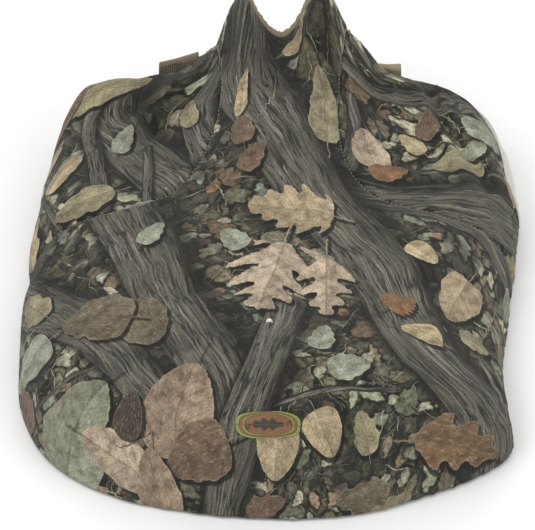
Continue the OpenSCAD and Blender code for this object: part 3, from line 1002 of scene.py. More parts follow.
def litter_group(leaf):
    """The forest floor between the trunks: dark ground, grass, twigs and small leaves."""
    group, g, (flat, *_), result = new_group("litter", {"At": VECTOR}, {"Color": COLOUR})
    swirl = g.vector("SUBTRACT", g.noise(flat, 22.0, 3.0, 0.6, give="Color"), (0.5, 0.5, 0.5))
    where = g.vector("ADD", flat, g.vector("SCALE", swirl, scale=0.030))
    colour = g.ramp(g.noise(where, 60.0, 5.0, 0.65, 0.8),
                    (0.34, (0.010, 0.010, 0.008)), (0.46, (0.040, 0.038, 0.028)),
                    (0.56, (0.115, 0.108, 0.076)), (0.68, (0.240, 0.230, 0.165)))
    ground = ((0.0, (0.045, 0.043, 0.032)), (0.40, (0.110, 0.108, 0.076)),
              (0.75, (0.150, 0.125, 0.085)), (1.0, (0.070, 0.080, 0.055)))
    mid = ((0.0, (0.120, 0.105, 0.070)), (0.3, (0.215, 0.185, 0.125)),
           (0.55, (0.120, 0.135, 0.095)), (0.8, (0.290, 0.225, 0.150)), (1.0, (0.10, 0.06, 0.04)))
    light = ((0.0, (0.36, 0.35, 0.25)), (0.35, (0.26, 0.29, 0.21)), (0.6, (0.50, 0.45, 0.33)),
             (0.85, (0.36, 0.39, 0.32)), (1.0, (0.30, 0.18, 0.10)))

    def scatter(colour, scale, seed, shape, keep, palette, dark, soft):
        """Lays one leaf or blade in most cells of a grid, over a soft shadow."""
        shifted = g.vector("ADD", where, (0.37 * seed, 0.73 * seed, 0.0))
        cells = g.node("TexVoronoi", {"Vector": shifted, "Scale": scale},
                       voronoi_dimensions="3D", feature="F1")
        chance = Field(g, cells.outputs["Color"])
        offset = g.vector("SUBTRACT", shifted, Field(g, cells.outputs["Position"]))
        turned = g.out("VectorRotate", {"Vector": g.vector("SCALE", offset, scale=scale),
                                        "Angle": chance[0] * 6.283}, rotation_type="Z_AXIS")
        cover, veins = g.use(leaf, g.join(turned[0] / 0.90 + 0.5, turned[1] / 0.90, 1.0), shape)
        kept = g.math("GREATER_THAN", keep, chance[1])
        colour = g.mix(g.band(cover, -0.20, 0.02) * kept * dark, colour, (0.005, 0.005, 0.004))
        grain = g.ramp(g.noise(flat, 190.0), (0.3, (0.40, 0.40, 0.38)), (0.7, (1.45, 1.45, 1.40)))
        body = g.mix(1.0, g.ramp(chance[2], *palette), grain, "MULTIPLY")
        body = g.mix(veins * 0.12, body, (0.30, 0.27, 0.19))
        return g.mix(g.band(cover, 0.0, soft) * kept, colour, body)

    for things in (
            (30.0, 1.0, (0.34, 0.10, 3.0), 0.75, ground, 0.6, 0.20),
            (62.0, 2.0, (0.055, 0.0, 2.0), 0.85, mid, 0.5, 0.04),
            (40.0, 3.0, (0.30, 0.22, 2.6), 0.45, mid, 0.8, 0.10),
            (32.0, 4.0, (0.022, 0.0, 2.0), 0.90, light, 0.4, 0.02),
            (22.0, 5.0, (0.30, 0.24, 3.2), 0.42, mid, 0.9, 0.05),
            (43.0, 6.0, (0.32, 0.14, 2.4), 0.36, light, 0.8, 0.14),
            (26.0, 8.0, (0.26, 0.30, 2.8), 0.22, light, 0.9, 0.10),
            (20.0, 7.0, (0.015, 0.0, 2.0), 0.75, light, 0.5, 0.012)):
        colour = scatter(colour, *things)
    gloom = 1.0 - g.band(g.noise(where, 12.0), 0.40, 0.52)
    g.put(g.mix(gloom * 0.66, colour, (0.010, 0.010, 0.009)), result["Color"])
    return group


class Look(Graph):
    """A material's node tree, around its Principled shader."""

    def __init__(self, name, sheen=0.0, specular=0.3):
        self.material = bpy.data.materials.new(name)
        self.material.use_nodes = True
        super().__init__(self.material.node_tree)
        self.shader = self.tree.nodes["Principled BSDF"].inputs
        self.put(sheen, self.shader["Sheen Weight"])
        self.put(0.6, self.shader["Sheen Roughness"])
        self.put(specular, self.shader["Specular IOR Level"])

    def finish(self, colour, roughness, relief=None, strength=0.0, distance=0.0):
        self.put(colour, self.shader["Base Color"])
        self.put(roughness, self.shader["Roughness"])
        if relief is not None:
            self.put(self.out("Bump", {"Height": relief, "Strength": strength,
                                       "Distance": distance}), self.shader["Normal"])
        return self.material


def weave(g, where, pitch):
    """Plain weave: warp and weft threads that pass over each other."""
    k = 2 * math.pi / pitch
    a = g.math("SINE", where[0] * k)
    b = g.math("SINE", where[1] * k)
    return a * b * 0.4 + (abs(a) + abs(b)) * 0.3


def leaf_body(g, bent, inside, veins, tint, blotch, flat):
    """A printed leaf's colour: blotched, creased and veined, darker on one half."""
    body = g.mix(1.0, tint, g.ramp(blotch, (0.30, (0.42, 0.38, 0.33)), (0.50, (0.95, 0.94, 0.92)),
                                   (0.70, (1.42, 1.40, 1.34))), "MULTIPLY")
    body = g.mix(g.band(bent[1], -0.02, 0.02) * 0.24, body, (0.040, 0.030, 0.022))
    crease = g.noise(g.vector("MULTIPLY", bent, (9.0, 26.0, 1.0)), 1.0, 4.0, 0.7)
    body = g.mix(g.band(crease, 0.50, 0.70) * 0.30, body, (0.62, 0.54, 0.42))
    body = g.mix(g.band(crease, 0.46, 0.30) * 0.42, body, (0.045, 0.034, 0.025))
    body = g.mix(g.band(bent[0], 0.45, 1.05) * 0.25, body, (0.050, 0.036, 0.026))
    body = g.mix(veins * 0.46, body, (0.075, 0.052, 0.034))
    body = g.mix((1.0 - g.band(inside, 0.004, 0.028)) * 0.22, body, (0.55, 0.46, 0.33))
    specks = g.band(g.noise(flat, 420.0, 1.0), 0.72, 0.76)
    return g.mix(specks * 0.6, body, (0.035, 0.025, 0.018))


def make_camo(leaf, bark, litter, name, faded=0.0):
    """Printed cloth: litter, then trunks, then the placed leaves, on a plain weave with painted
    shade where its threads sink.
    """
    g = Look(name, sheen=0.06, specular=0.12)
    flat = g.attribute("print")
    colour = g.use(litter, flat)[0]
    for layer in range(PRINT_LAYERS):
        trunk = g.attribute(f"trunk{layer}")
        made = g.math("GREATER_THAN", trunk[1], -1.0)
        gloom = g.band(trunk[0], -1.35, -1.00) * (1.0 - g.band(trunk[0], 1.05, 1.90)) * made
        colour = g.mix(gloom * 0.86, colour, (0.007, 0.007, 0.006))
        wood, cover = g.use(bark, trunk)
        colour = g.mix(cover * made, colour, wood)
    ragged = g.vector("SUBTRACT", g.noise(flat, 170.0, give="Color"), (0.5, 0.5, 0.5))
    wobble = g.vector("SCALE", ragged, scale=0.050)
    blotch = g.noise(flat, 70.0, 5.0, 0.62)
    for layer in range(PRINT_LAYERS):
        here, kind, cast, tint = (g.attribute(f"{part}{layer}")
                                  for part in ("leaf", "kind", "cast", "tint"))
        there = g.math("GREATER_THAN", here[2], 0.98)
        bent = g.vector("ADD", here, wobble)
        shadow = g.use(leaf, g.vector("SUBTRACT", bent, cast), kind)[0]
        dark = g.band(shadow, -0.030, 0.012) * there
        colour = g.mix(dark * 0.90, colour, (0.005, 0.005, 0.004))
        inside, veins = g.use(leaf, bent, kind)
        body = leaf_body(g, bent, inside, veins, tint, blotch, flat)
        colour = g.mix(g.band(inside, 0.0, 0.010) * there, colour, body)
    grain = g.ramp(g.noise(flat, 620.0, 3.0, 0.7), (0.34, 0.66), (0.50, 1.0), (0.66, 1.42))
    colour = g.mix(1.0, colour, grain, "MULTIPLY")
    worn = g.noise(flat, 8.0, 4.0)
    colour = g.mix(worn * 0.04 + faded, colour, (0.30, 0.29, 0.25))
    threads = weave(g, flat, 0.0011)
    # Painted shade: the print darkens where the weave's threads sink
    colour = g.mix(g.band(threads, 0.9, -0.1) * 0.16, colour, (0.03, 0.03, 0.028))
    return g.finish(colour, worn * 0.16 + 0.74, threads * 0.35 + g.noise(flat, 60.0),
                    0.35, 0.0008)


def make_knit(name, colour, shade):
    """Knitted backing: rows of small loops with painted shade between them, slightly uneven and
    dusty.
    """
    g = Look(name, sheen=0.2, specular=0.15)
    at = g.place()
    k = 2 * math.pi / 0.0016
    loops = g.math("SINE", (at[0] + abs(g.math("SINE", at[1] * k)) * 0.0006) * k)
    uneven = g.noise(at, 35.0, 4.0)
    # Painted shade between the loops; the uneven noise sets the rest of the tone
    tone = g.mix(g.band(loops, 0.4, -0.9) * 0.25, g.ramp(uneven, (0.3, shade), (0.7, colour)),
                 shade)
    return g.finish(tone, uneven * 0.12 + 0.80, loops * 0.4 + uneven, 0.5, 0.0006)


def make_foam(name):
    """Open foam: small pores with painted shade in them, yellowed in patches."""
    g = Look(name, specular=0.1)
    at = g.place()
    pores = g.out("TexVoronoi", {"Vector": at, "Scale": 900.0}, "Distance")
    # Painted shade: darker towards each pore's middle, where the surface sinks
    tone = g.ramp(pores, (0.0, (0.55, 0.50, 0.38)), (0.6, (0.80, 0.76, 0.64)))
    tone = g.mix(g.noise(at, 12.0) * 0.3, tone, (0.62, 0.53, 0.36))
    return g.finish(tone, pores * 0.1 + 0.86, pores, 0.6, 0.0008)


def make_webbing(name, colour, light, pitch=0.0022):
    """Woven webbing: ribs of herringbone along its length, with painted highlight on the high
    threads and painted shade in the low ones.
    """
    g = Look(name, sheen=0.15, specular=0.3)
    at = g.place()
    k = 2 * math.pi / pitch
    ribs = g.math("SINE", (at[0] + g.math("PINGPONG", at[1], 0.0022)) * k)
    cloth = ribs + g.math("SINE", at[1] * (k * 1.3)) * 0.4
    dirt = g.noise(at, 60.0, 4.0)
    # Painted light and shade: pale on the high threads, dark in the low ones
    tone = g.mix(g.band(cloth, -0.6, 1.1), colour, light)
    tone = g.mix(g.band(dirt, 0.5, 0.75) * 0.35, tone, (0.16, 0.14, 0.11))
    return g.finish(tone, dirt * 0.2 + 0.62, cloth, 0.6, 0.0006)


def make_plastic(name, colour):
    """Moulded acetal: fine spark texture, faint flow marks and scuffed patches."""
    g = Look(name, specular=0.5)
    at = g.place()
    flow = g.noise(at, 40.0, 4.0, 0.6, 1.5)
    scuff = g.band(g.noise(at, 220.0, 5.0, 0.7, 2.0), 0.60, 0.72)
    tone = g.mix(flow * 0.5, colour, (0.045, 0.045, 0.044))
    tone = g.mix(scuff * 0.4, tone, (0.13, 0.13, 0.125))
    return g.finish(tone, flow * 0.14 + scuff * 0.2 + 0.36,
                    g.noise(at, 1400.0, 2.0) + scuff * 0.5, 0.25, 0.0003)


def make_thread(name, colour, dark, pitch=0.0011):
    """Twisted thread: slanted strands with painted shade between them, and a soft shine."""
    g = Look(name, sheen=0.25, specular=0.4)
    at = g.place()
    twist = g.math("SINE", (at[0] + at[1] + at[2]) * (2 * math.pi / pitch))
    fuzz = g.noise(at, 900.0)
    # Painted shade: darker between the twisted strands, where the surface sinks
    tone = g.mix(g.band(twist + fuzz, -0.4, 1.4), dark, colour)
    return g.finish(tone, fuzz * 0.2 + 0.42, twist, 0.5, 0.0003)


def make_floor():
    g = Look("studio_floor", specular=0.1)
    return g.finish(g.ramp(g.noise(g.place(), 4.0, 2.0), (0.3, 0.93), (0.7, 0.95)), 0.9)


LEAF = leaf_group()
BARK = bark_group()
LITTER = litter_group(LEAF)
CAMO = make_camo(LEAF, BARK, LITTER, "camo_cloth")
HEM_CAMO = make_camo(LEAF, BARK, LITTER, "hem_cloth", faded=0.10)
FRONT_HEM = make_webbing("front_hem_cloth", (0.26, 0.21, 0.13), (0.42, 0.35, 0.23), 0.0012)
BACKING = make_knit("backing_knit", (0.76, 0.76, 0.73), (0.60, 0.60, 0.57))
# A paler copy of the backing knit: painted light on the turned-out lip
LIP_CLOTH = make_knit("lip_knit", (0.93, 0.92, 0.87), (0.78, 0.77, 0.71))
FOAM = make_foam("foam")
TAPE = make_webbing("seam_tape", (0.030, 0.029, 0.026), (0.09, 0.085, 0.075), 0.0014)
WEBBING = make_webbing("webbing", (0.020, 0.020, 0.018), (0.075, 0.073, 0.066))
LOOP_CLOTH = make_webbing("loop_webbing", (0.24, 0.19, 0.115), (0.45, 0.37, 0.25))
LOOP_DARK = make_webbing("loop_webbing_dark", (0.10, 0.075, 0.050), (0.30, 0.22, 0.14))
PLASTIC = make_plastic("buckle_plastic", (0.016, 0.016, 0.016))
SEAM_THREAD = make_thread("seam_thread", (0.36, 0.32, 0.24), (0.10, 0.09, 0.065))
DARK_THREAD = make_thread("web_thread", (0.10, 0.10, 0.09), (0.03, 0.03, 0.028))
ELASTIC = make_thread("elastic_braid", (0.82, 0.81, 0.78), (0.45, 0.44, 0.42), 0.0024)
BADGE_GROUND = make_thread("badge_ground", (0.30, 0.135, 0.045), (0.12, 0.05, 0.02), 0.0009)
BADGE_EDGE = make_thread("badge_edge", (0.36, 0.42, 0.10), (0.13, 0.16, 0.03), 0.0010)
BADGE_LEAF = make_thread("badge_leaf", (0.050, 0.052, 0.032), (0.012, 0.013, 0.008), 0.0010)


# ------------------------------------------------------------------ panels


def finish_piece(obj, material, slot, *nodes, body=BODY):
    """Turns an inside-out piece over, and gives it its material and its place in the frame."""
    bm = bmesh.new()
    bm.from_mesh(obj.data)
    if bm.calc_volume(signed=True) < 0:
        bmesh.ops.reverse_faces(bm, faces=bm.faces)
        bm.to_mesh(obj.data)
    bm.free()
    obj.data.materials.clear()
    obj.data.materials.append(material)
    shade(obj, True)
    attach(obj, body)
    if nodes:
        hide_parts(*nodes)
    return obj


def shade(obj, smoothly):
    obj.data.polygons.foreach_set("use_smooth", [smoothly] * len(obj.data.polygons))


def declare_sheet(obj, wide, long, rests_on):
    """Turns a sheet's flat span into numbers; nothing is recorded."""
    wide, long = float(wide), float(long)


def fabric_span(obj):
    return np.ptp(get_vector(obj, "fabric")[:, :2], axis=0)


def make_face_panels():
    for side, label in PANELS:
        part = take_panel(cloth, f"{label}_cloth", side)
        tuck = 0.0012 * bell(get_vector(part, "plan")[:, 2], 0, 0.0009)
        move_to(part, coords(part) - normals(part) * tuck[:, None])
        thicken(part, FACE_T)
        add_print(part, side)
        finish_piece(part, CAMO, "camo_cloth", PANEL_NODES[side])
        declare_sheet(part, *fabric_span(part), ["foam_pad"] if side == 0 else [])


def make_backing():
    """The white backing, bonded to the face fabric and carried under the foam pad."""
    under = add_object("under", cloth.data.copy())
    u, v, r = get_vector(under, "fabric").T
    plan = get_vector(under, "plan")
    share = np.where(plan[:, 2] > 0, 1.0, r)
    over_pad = smooth((0.93 - share) / 0.05) * smooth((0.222 - plan[:, 1]) / 0.02)
    depth = FACE_T + LAYER_GAP + 0.0005 + (FOAM_T + LAYER_GAP) * over_pad
    depth = depth + np.abs(wander(u, v, 26, 3.0)) * 0.0009
    move_to(under, coords(under) - even_normals(under) * depth[:, None])
    for side, label in PANELS:
        part = take_panel(under, f"{label}_backing", side)
        thicken(part, BACKING_T)
        finish_piece(part, BACKING, "backing_cloth", f"backing_{label}")
        declare_sheet(part, *fabric_span(part), [PANEL_NODES[side]])
    bpy.data.objects.remove(under)


def make_foam_pad():
    """Foam under the rider: the cloth's own shape, crowned, cut back from its edges."""
    pad = add_object("foam_filling", cloth.data.copy())
    move_to(pad, coords(pad) - even_normals(pad) * (FACE_T + LAYER_GAP + 0.0004))
    with edit(pad) as bm:
        fabric = bm.verts.layers.float_vector["fabric"]
        plan = bm.verts.layers.float_vector["plan"]
        drop = [f for f in bm.faces if any(
            v[fabric].z > 0.90 or v[plan].y > 0.20 or v[plan].z > -0.014 for v in f.verts)]
        bmesh.ops.delete(bm, geom=drop, context="FACES")
    thicken(pad, FOAM_T - 0.0008)
    finish_piece(pad, FOAM, "foam", "foam_pad")


# ------------------------------------------------------------------ seams


def even_spots(flat_path, pitch, lift):
    """Places along a path on the flat fabric, with headings, at even spacing."""
    run = run_along(flat_path)
    at = np.arange(pitch / 2, run[-1], pitch)
    u, v = np.interp(at, run, flat_path[:, 0]), np.interp(at, run, flat_path[:, 1])
    points, ups = (np.array(part) for part in zip(*(fabric_map.at(a, b, lift)
                                                     for a, b in zip(u, v))))
    return list(zip(points, heading(points), ups))


def keep_apart(points, step, *others):
    """Leaves out points that are nearer than step to the last one kept."""
    keep = [0]
    for q in range(1, len(points)):
        if np.linalg.norm(points[q] - points[keep[-1]]) > step:
            keep.append(q)
    return [values[keep] for values in (points, *others)]


def seam_flat(side, inward):
    """The seam on the flat fabric, moved inward on the centre panel."""
    fabric, plan = get_vector(cloth, "fabric"), get_vector(cloth, "plan")
    on = np.nonzero((np.abs(plan[:, 2]) < 1e-6) & (plan[:, 0] * side > 0))[0]
    order = on[np.argsort(plan[on, 1] - np.abs(plan[on, 0]) * 0.6)]
    line = keep_apart(fabric[order, :2], 0.004)[0]
    ahead = heading(line)
    return line + np.stack([-ahead[:, 1], ahead[:, 0]], axis=1) * side * inward


def make_seams():
    """Topstitching beside each seam, and tape over it inside."""
    for side, label in SIDES:
        spots = even_spots(seam_flat(side, 0.0028), 0.0046, 0.0001)
        row = stitch_row(f"seam_stitches_{label}", spots, *STITCH)
        finish_piece(row, SEAM_THREAD, "thread", f"topstitch_{label}")
    section = ((-0.008, 0), (-0.004, 0.0003), (0, 0.0005), (0.004, 0.0003),
               (0.008, 0), (0.0078, -0.0006), (0, -0.0003), (-0.0078, -0.0006))
    for side, label in SIDES:
        path, _, ups = zip(*even_spots(seam_flat(side, 0.0), 0.006, -0.0042)[3:-3])
        tape = sweep(f"seam_tape_strip_{label}", path, ups, section)
        finish_piece(tape, TAPE, "tape", f"seam_tape_{label}")


# ------------------------------------------------------------------ hem


def rim_line(front):
    """Rim points of the finished cloth, their normals and fabric places, in order."""
    fabric, plan = get_vector(cloth, "fabric"), get_vector(cloth, "plan")
    on = np.nonzero(plan[:, 1] > FRONT_Y - 1e-5 if front else fabric[:, 2] > 0.99999)[0]
    order = on[np.argsort(plan[on, 0] if front else round_cover(plan[on]))]
    return coords(cloth)[order], normals(cloth)[order], fabric[order, :2]


def gathered_tube(name, path, up, flat, outward, wide, tall, seed, panel=0, gather=1.0):
    """A hem casing: a soft tube whose cloth is drawn into small uneven gathers."""
    section = oval(wide, tall, TUBE_SIDES)
    size = [[1 + (0.16 * noise.noise((along * 150, q * 0.35, seed))
                  + 0.10 * noise.noise((along * 420, q * 0.12, seed + 9))) * gather
             for q in range(TUBE_SIDES)] for along in run_along(path)]
    tube = sweep(name, path, up, section * np.array(size)[:, :, None])
    ring = coords(tube)
    ring[:, 2] = np.maximum(ring[:, 2], FLOOR_GAP)
    move_to(tube, ring)
    reach = 0.008 + 0.006 * (1 - oval(1, 1, TUBE_SIDES)[:, 1:])
    add_print(tube, panel, (flat[:, None] + outward[:, None] * reach).reshape(-1, 2))
    return tube


def make_hem():
    p, _, flat = rim_line(front=False)
    p, flat = keep_apart(p, 0.0015, flat)
    ahead = np.gradient(p, axis=0)
    inward = unit(np.stack([-ahead[:, 1], ahead[:, 0]], axis=1))
    ahead = np.gradient(flat, axis=0)
    outward = unit(np.stack([ahead[:, 1], -ahead[:, 0]], axis=1))
    centre = np.column_stack([p[:, :2] + inward * (CASING_R + 0.0022),
                              np.full(len(p), CASING_Z + 0.0008)])
    centre, flat, outward = resample(centre, TUBE_STEP, flat, outward)
    centre = soften(centre, 3)
    beyond = centre[:, 1] > HEM_KINK
    front = make_front_hem()
    make_elastic(np.concatenate([centre, front[::-1]]))
    for side, label, chosen in ((-1, "left", beyond & (centre[:, 0] < 0)), (0, "rear", ~beyond),
                                (1, "right", beyond & (centre[:, 0] > 0))):
        ups = np.tile(UP, (chosen.sum(), 1))
        tube = gathered_tube(f"hem_{label}", centre[chosen], ups, flat[chosen], outward[chosen],
                             CASING_R - 0.0002, CASING_Z + 0.0004, 3.0, side)
        finish_piece(tube, HEM_CAMO, "hem_cloth", f"hem_casing_{label}")


def make_front_hem():
    p, n, flat = rim_line(front=True)
    p, n, flat = keep_apart(p, 0.0015, n, flat)
    away = p[:, 0] - NOSE_LEAN
    sunk = 0.0045 + 0.0050 * smooth((np.abs(away) - 0.040) / 0.014)
    sunk -= 0.0045 * bell(away, 0.040, 0.010)
    inner = unit(n * np.array([1.0, 0.0, 1.0]))
    centre = p - inner * sunk[:, None] + np.array([0.0, CASING_R - 0.0006, 0.0])
    centre[:, 2] = np.maximum(centre[:, 2], CASING_Z + 0.0008)
    centre, flat = resample(centre, TUBE_STEP, flat)
    centre = soften(centre, 5)
    up = np.tile([0.0, -1.0, 0.0], (len(centre), 1))
    outward = np.tile([0.0, 1.0], (len(centre), 1))
    tube = gathered_tube("hem_front", centre, up, flat, outward, 0.0062, 0.0056, 7.0, gather=1.9)
    finish_piece(tube, FRONT_HEM, "hem_cloth", "hem_casing_front")
    make_hem_stitches(tube, centre)
    return centre


def make_hem_stitches(tube, centre):
    """Thread that closes the front casing, on the side of it that faces the opening."""
    inner = unit(np.cross((0.0, 1.0, 0.0), heading(centre)))
    facing = 0.45 * inner + np.array([0.0, 0.89, 0.0])
    rings = coords(tube)[:len(centre) * TUBE_SIDES].reshape(len(centre), TUBE_SIDES, 3)
    reach = ((rings - centre[:, None]) * facing[:, None]).sum(axis=2).mean(axis=0)
    line, up = resample(rings[:, int(reach.argmax())], 0.0048, facing)
    spots = [spot for spot in list(zip(line, heading(line), unit(up)))[2:-2] if spot[0][2] > 0.004]
    row = stitch_row("hem_front_stitches", spots, *HEM_STITCH)
    finish_piece(row, DARK_THREAD, "thread")


def make_elastic(path):
    """Braided elastic: one closed loop through all four casings."""
    path = resample(np.concatenate([path, path[:1]]), 0.004)[0][:-1]
    for _ in range(4):
        path = 0.25 * np.roll(path, 1, axis=0) + 0.5 * path + 0.25 * np.roll(path, -1, axis=0)
    turn = 2 * math.pi * np.arange(12) / 12
    braid = 1 + 0.05 * np.sin(6 * turn + 1.7 * np.arange(len(path))[:, None])
    cord = sweep("hem_cord", path, np.tile([0.0, -0.35, 0.94], (len(path), 1)),
                 oval(0.0030, 0.0026, 12) * braid[:, :, None], closed=True)
    finish_piece(cord, ELASTIC, "elastic", "hem_elastic")


def make_lip():
    """The right front corner's edge is turned out, so the white backing shows beside it."""
    rim = rim_line(front=False)[0]
    side = rim[(rim[:, 0] > 0.15) & (rim[:, 1] > 0.150)]
    side = side[np.argsort(side[:, 1])]
    rim = rim_line(front=True)[0]
    front = rim[rim[:, 0] > 0.198]
    front = front[np.argsort(-front[:, 0])][1:]
    path = soften(resample(np.concatenate([side, front]), 0.003)[0], 4)
    steep = smooth((path[:, 2] - 0.012) / 0.05)
    out = np.column_stack([1 - 0.25 * steep, np.zeros(len(path)), 0.05 + 0.60 * steep])
    out = unit(soften(out, 8))
    share = np.linspace(0, 1, len(path))
    wide = LIP_W * np.sin(math.pi * share) ** 0.50
    wide += LIP_CORNER * bell(share, 0.68, 0.19) * np.sin(math.pi * share) ** 0.3
    ripple = np.array([0.0009 * noise.noise((s * 14, 2.0, 5.0)) for s in share])
    t = np.linspace(0, 1, 7)
    reach = wide[:, None] * (t - 0.10) + ripple[:, None] * t
    points = path[:, None] + out[:, None] * reach[:, :, None]
    points[:, :, 1] += 0.0022 * np.sin(2.2 * t) - 0.0012
    lip = new_mesh("right_backing_lip", points.reshape(-1, 3), sheet_faces(len(path), len(t)))
    thicken(lip, BACKING_T, 0.0)
    finish_piece(lip, LIP_CLOTH, "backing_cloth")
    declare_sheet(lip, wide.max(), run_along(path)[-1], ["right_backing"])


def make_loop(label, widen, lowered, lean, slope, material):
    """Pull loop: doubled webbing sewn over the front hem, with a wear-softened fold."""
    low, high = (np.array(corner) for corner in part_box(f"pull_loop_{label}"))
    wide = (high[0] - low[0]) * widen
    mid_x, mid_y = (low[:2] + high[:2]) / 2
    bend_z = high[2] - lowered - LOOP_R - LOOP_T
    rise = np.linspace(low[2] - FRONT_DROP - 0.012, bend_z, 16)
    turn = np.linspace(0, math.pi, 15)
    y = mid_y + np.concatenate([np.full(16, -LOOP_R), -LOOP_R * np.cos(turn), np.full(16, LOOP_R)])
    z = np.concatenate([rise, bend_z + LOOP_R * np.sin(turn), rise[::-1]])
    rows = np.arange(len(y))[:, None]
    across = np.linspace(-wide / 2, wide / 2, 13)
    pinch = 1 - 0.05 * bell(rows, len(y) // 2, 9)
    bow = 0.0009 * np.sin(4 * across / wide + 0.2 * rows)
    points = np.stack([mid_x + NOSE_LEAN + lean + across * pinch, y[:, None] + bow,
                       z[:, None] + slope * across], axis=2)
    faces = sheet_faces(len(y), len(across))
    loop = new_mesh(f"front_loop_{label}", points.reshape(-1, 3), faces)
    thicken(loop, 2 * LOOP_T, 0.0)
    modify(loop, "BEVEL", width=0.0005, segments=2)
    finish_piece(loop, material, "webbing", f"pull_loop_{label}")


# ------------------------------------------------------------------ straps and buckles


def web_strip(name, path):
    """Flat webbing with thicker woven edges, along a path in the X-Z plane."""
    half, t = WEB_W / 2, WEB_T / 2
    edge = ((half, 0), (half - 0.0004, t * 0.9), (half - 0.0016, t),
            (half - 0.0030, t * 0.72), (half * 0.5, t * 0.78))
    top = [(-a, b) for a, b in edge] + [(0, t * 0.80)] + list(edge)[::-1]
    ahead = np.gradient(np.asarray(path), axis=0)
    up = np.stack([-ahead[:, 2], np.zeros(len(path)), ahead[:, 0]], axis=1)
    return sweep(name, path, up, top + [(a, -b) for a, b in top[-2:0:-1]])


def web_wave(x, y):
    return 0.0004 * math.sin(70 * x + 11 * y) + 0.0003 * math.sin(31 * x)


def make_webs():
    """Each strap's left half doubles back over the socket's bar. Its right half lies flat."""
    z = WEB_Z + WEB_T / 2
    turn_r = BAR_R + 0.0003 + WEB_T / 2
    for end in ("front", "rear"):
        low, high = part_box(f"{end}_web_left")
        y = (low[1] + high[1]) / 2
        run = [(x, y, z + web_wave(x, y) * smooth((BAR_X - x) / 0.02))
               for x in np.linspace(low[0], BAR_X, 60)]
        run += [(BAR_X + turn_r * math.sin(a), y, BAR_Z - turn_r * math.cos(a))
                for a in np.linspace(0, math.pi, 20)[1:]]
        for t in np.linspace(0, 1, 26)[1:]:
            drop = (2 * turn_r - WEB_T - 0.0001) * smooth(t / 0.40)
            run.append((BAR_X - LAP * t, y, BAR_Z + turn_r - drop))
        strip = web_strip(f"{end}_strap_left", run)
        finish_piece(strip, WEBBING, "webbing", f"{end}_web_left")
        low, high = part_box(f"{end}_web_right")
        y = (low[1] + high[1]) / 2
        run = [(x, y, z + web_wave(x, y) * smooth((x - 0.085) / 0.03))
               for x in np.linspace(low[0], high[0], 60)]
        strip = web_strip(f"{end}_strap_right", run)
        finish_piece(strip, WEBBING, "webbing", f"{end}_web_right")
        make_box_stitches(end, y)


def make_box_stitches(end, y):
    """A sewn box holds the doubled end of each left strap."""
    x0, x1 = BAR_X - LAP + 0.002, BAR_X - 0.019
    y0, y1 = y - 0.0095, y + 0.0095
    top = WEB_Z + 2 * WEB_T + 0.0002
    a, b, c, d = (np.array([*corner, top]) for corner in ((x0, y0), (x1, y0), (x1, y1), (x0, y1)))
    spots = []
    for start, stop in ((a, b), (b, c), (c, d), (d, a), (a, c), (d, b)):
        run = stop - start
        count = max(2, int(np.linalg.norm(run) / 0.0028))
        spots += [(start + run * (q + 0.5) / count, unit(run), UP) for q in range(count)]
    finish_piece(stitch_row(f"{end}_strap_stitches", spots, *BOX_STITCH), DARK_THREAD, "thread")


def make_buckles():
    """The buckle halves keep the CAD's fit, with their moulded edges rounded off."""
    for end in ("front", "rear"):
        for half, body in (("socket", BODY), ("prongs", f"{end}_prongs")):
            node = f"{end}_buckle_{half}"
            part = add_object(f"{end}_clip_{half}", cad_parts[node].data.copy())
            with edit(part) as bm:
                bmesh.ops.remove_doubles(bm, verts=bm.verts, dist=1e-5)
                bmesh.ops.dissolve_limit(bm, angle_limit=math.radians(1), verts=bm.verts,
                                         edges=bm.edges)
            modify(part, "BEVEL", width=0.0007, segments=3, limit_method="ANGLE",
                   angle_limit=math.radians(35), use_clamp_overlap=True)
            finish_piece(part, PLASTIC, "buckle_plastic", node, body=body)
            shade(part, False)


# ------------------------------------------------------------------ badge


def badge_outline(scale, turn):
    """A rounded lozenge: a stadium whose long sides swell a little."""
    c, s = math.cos(turn), math.sin(turn)
    return (math.copysign(abs(c) ** 0.62, c) * BADGE_W / 2 * scale,
            math.copysign(abs(s) ** 0.72, s) * BADGE_H / 2 * scale)


def badge_at(spot, lift):
    return fabric_map.at(badge_middle.x + spot[0], badge_middle.y + spot[1], lift)


def badge_plate():
    rings, count = 9, 96
    points, faces = [badge_at((0, 0), 0.0010)[0]], []
    for k in range(1, rings + 1):
        for q in range(count):
            spot = badge_outline(k / rings * 0.94, 2 * math.pi * q / count)
            points.append(badge_at(spot, 0.0010 if k < rings else 0.0007)[0])
    for q in range(count):
        w = (q + 1) % count
        faces.append((0, 1 + q, 1 + w))
        for a in range(1, 1 + (rings - 1) * count, count):
            faces.append((a + q, a + count + q, a + count + w, a + w))
    plate = new_mesh("badge_cloth", points, faces)
    thicken(plate, 0.0009)
    finish_piece(plate, BADGE_GROUND, "badge_twill", "badge_base")


def satin(name, pairs, lift, radius, slot, node):
    """Embroidery: one short arched thread for each pair of ends on the badge."""
    t = np.linspace(0, 1, 6)
    arch = np.sin(math.pi * t)
    threads = []
    for first, last in pairs:
        start, up = badge_at(first, lift)
        run = badge_at(last, lift)[0] - start
        centres = start + np.outer(t, run) + np.outer(0.00045 * arch, up)
        threads.append((centres, radius * (0.55 + 0.45 * arch), np.cross(unit(run), up), up))
    material = BADGE_EDGE if node == "badge_border" else BADGE_LEAF
    finish_piece(thread_mesh(name, threads, 5), material, slot, node)


def badge_border():
    pairs = []
    for outer, inner, count in ((1.0, 0.90, 420), (0.80, 0.745, 330)):
        for turn in 2 * math.pi * np.arange(count) / count:
            pairs.append((badge_outline(outer, turn), badge_outline(inner, turn + 0.012)))
    satin("badge_edging", pairs, 0.0011, 0.00026, "badge_border_thread", "badge_border")


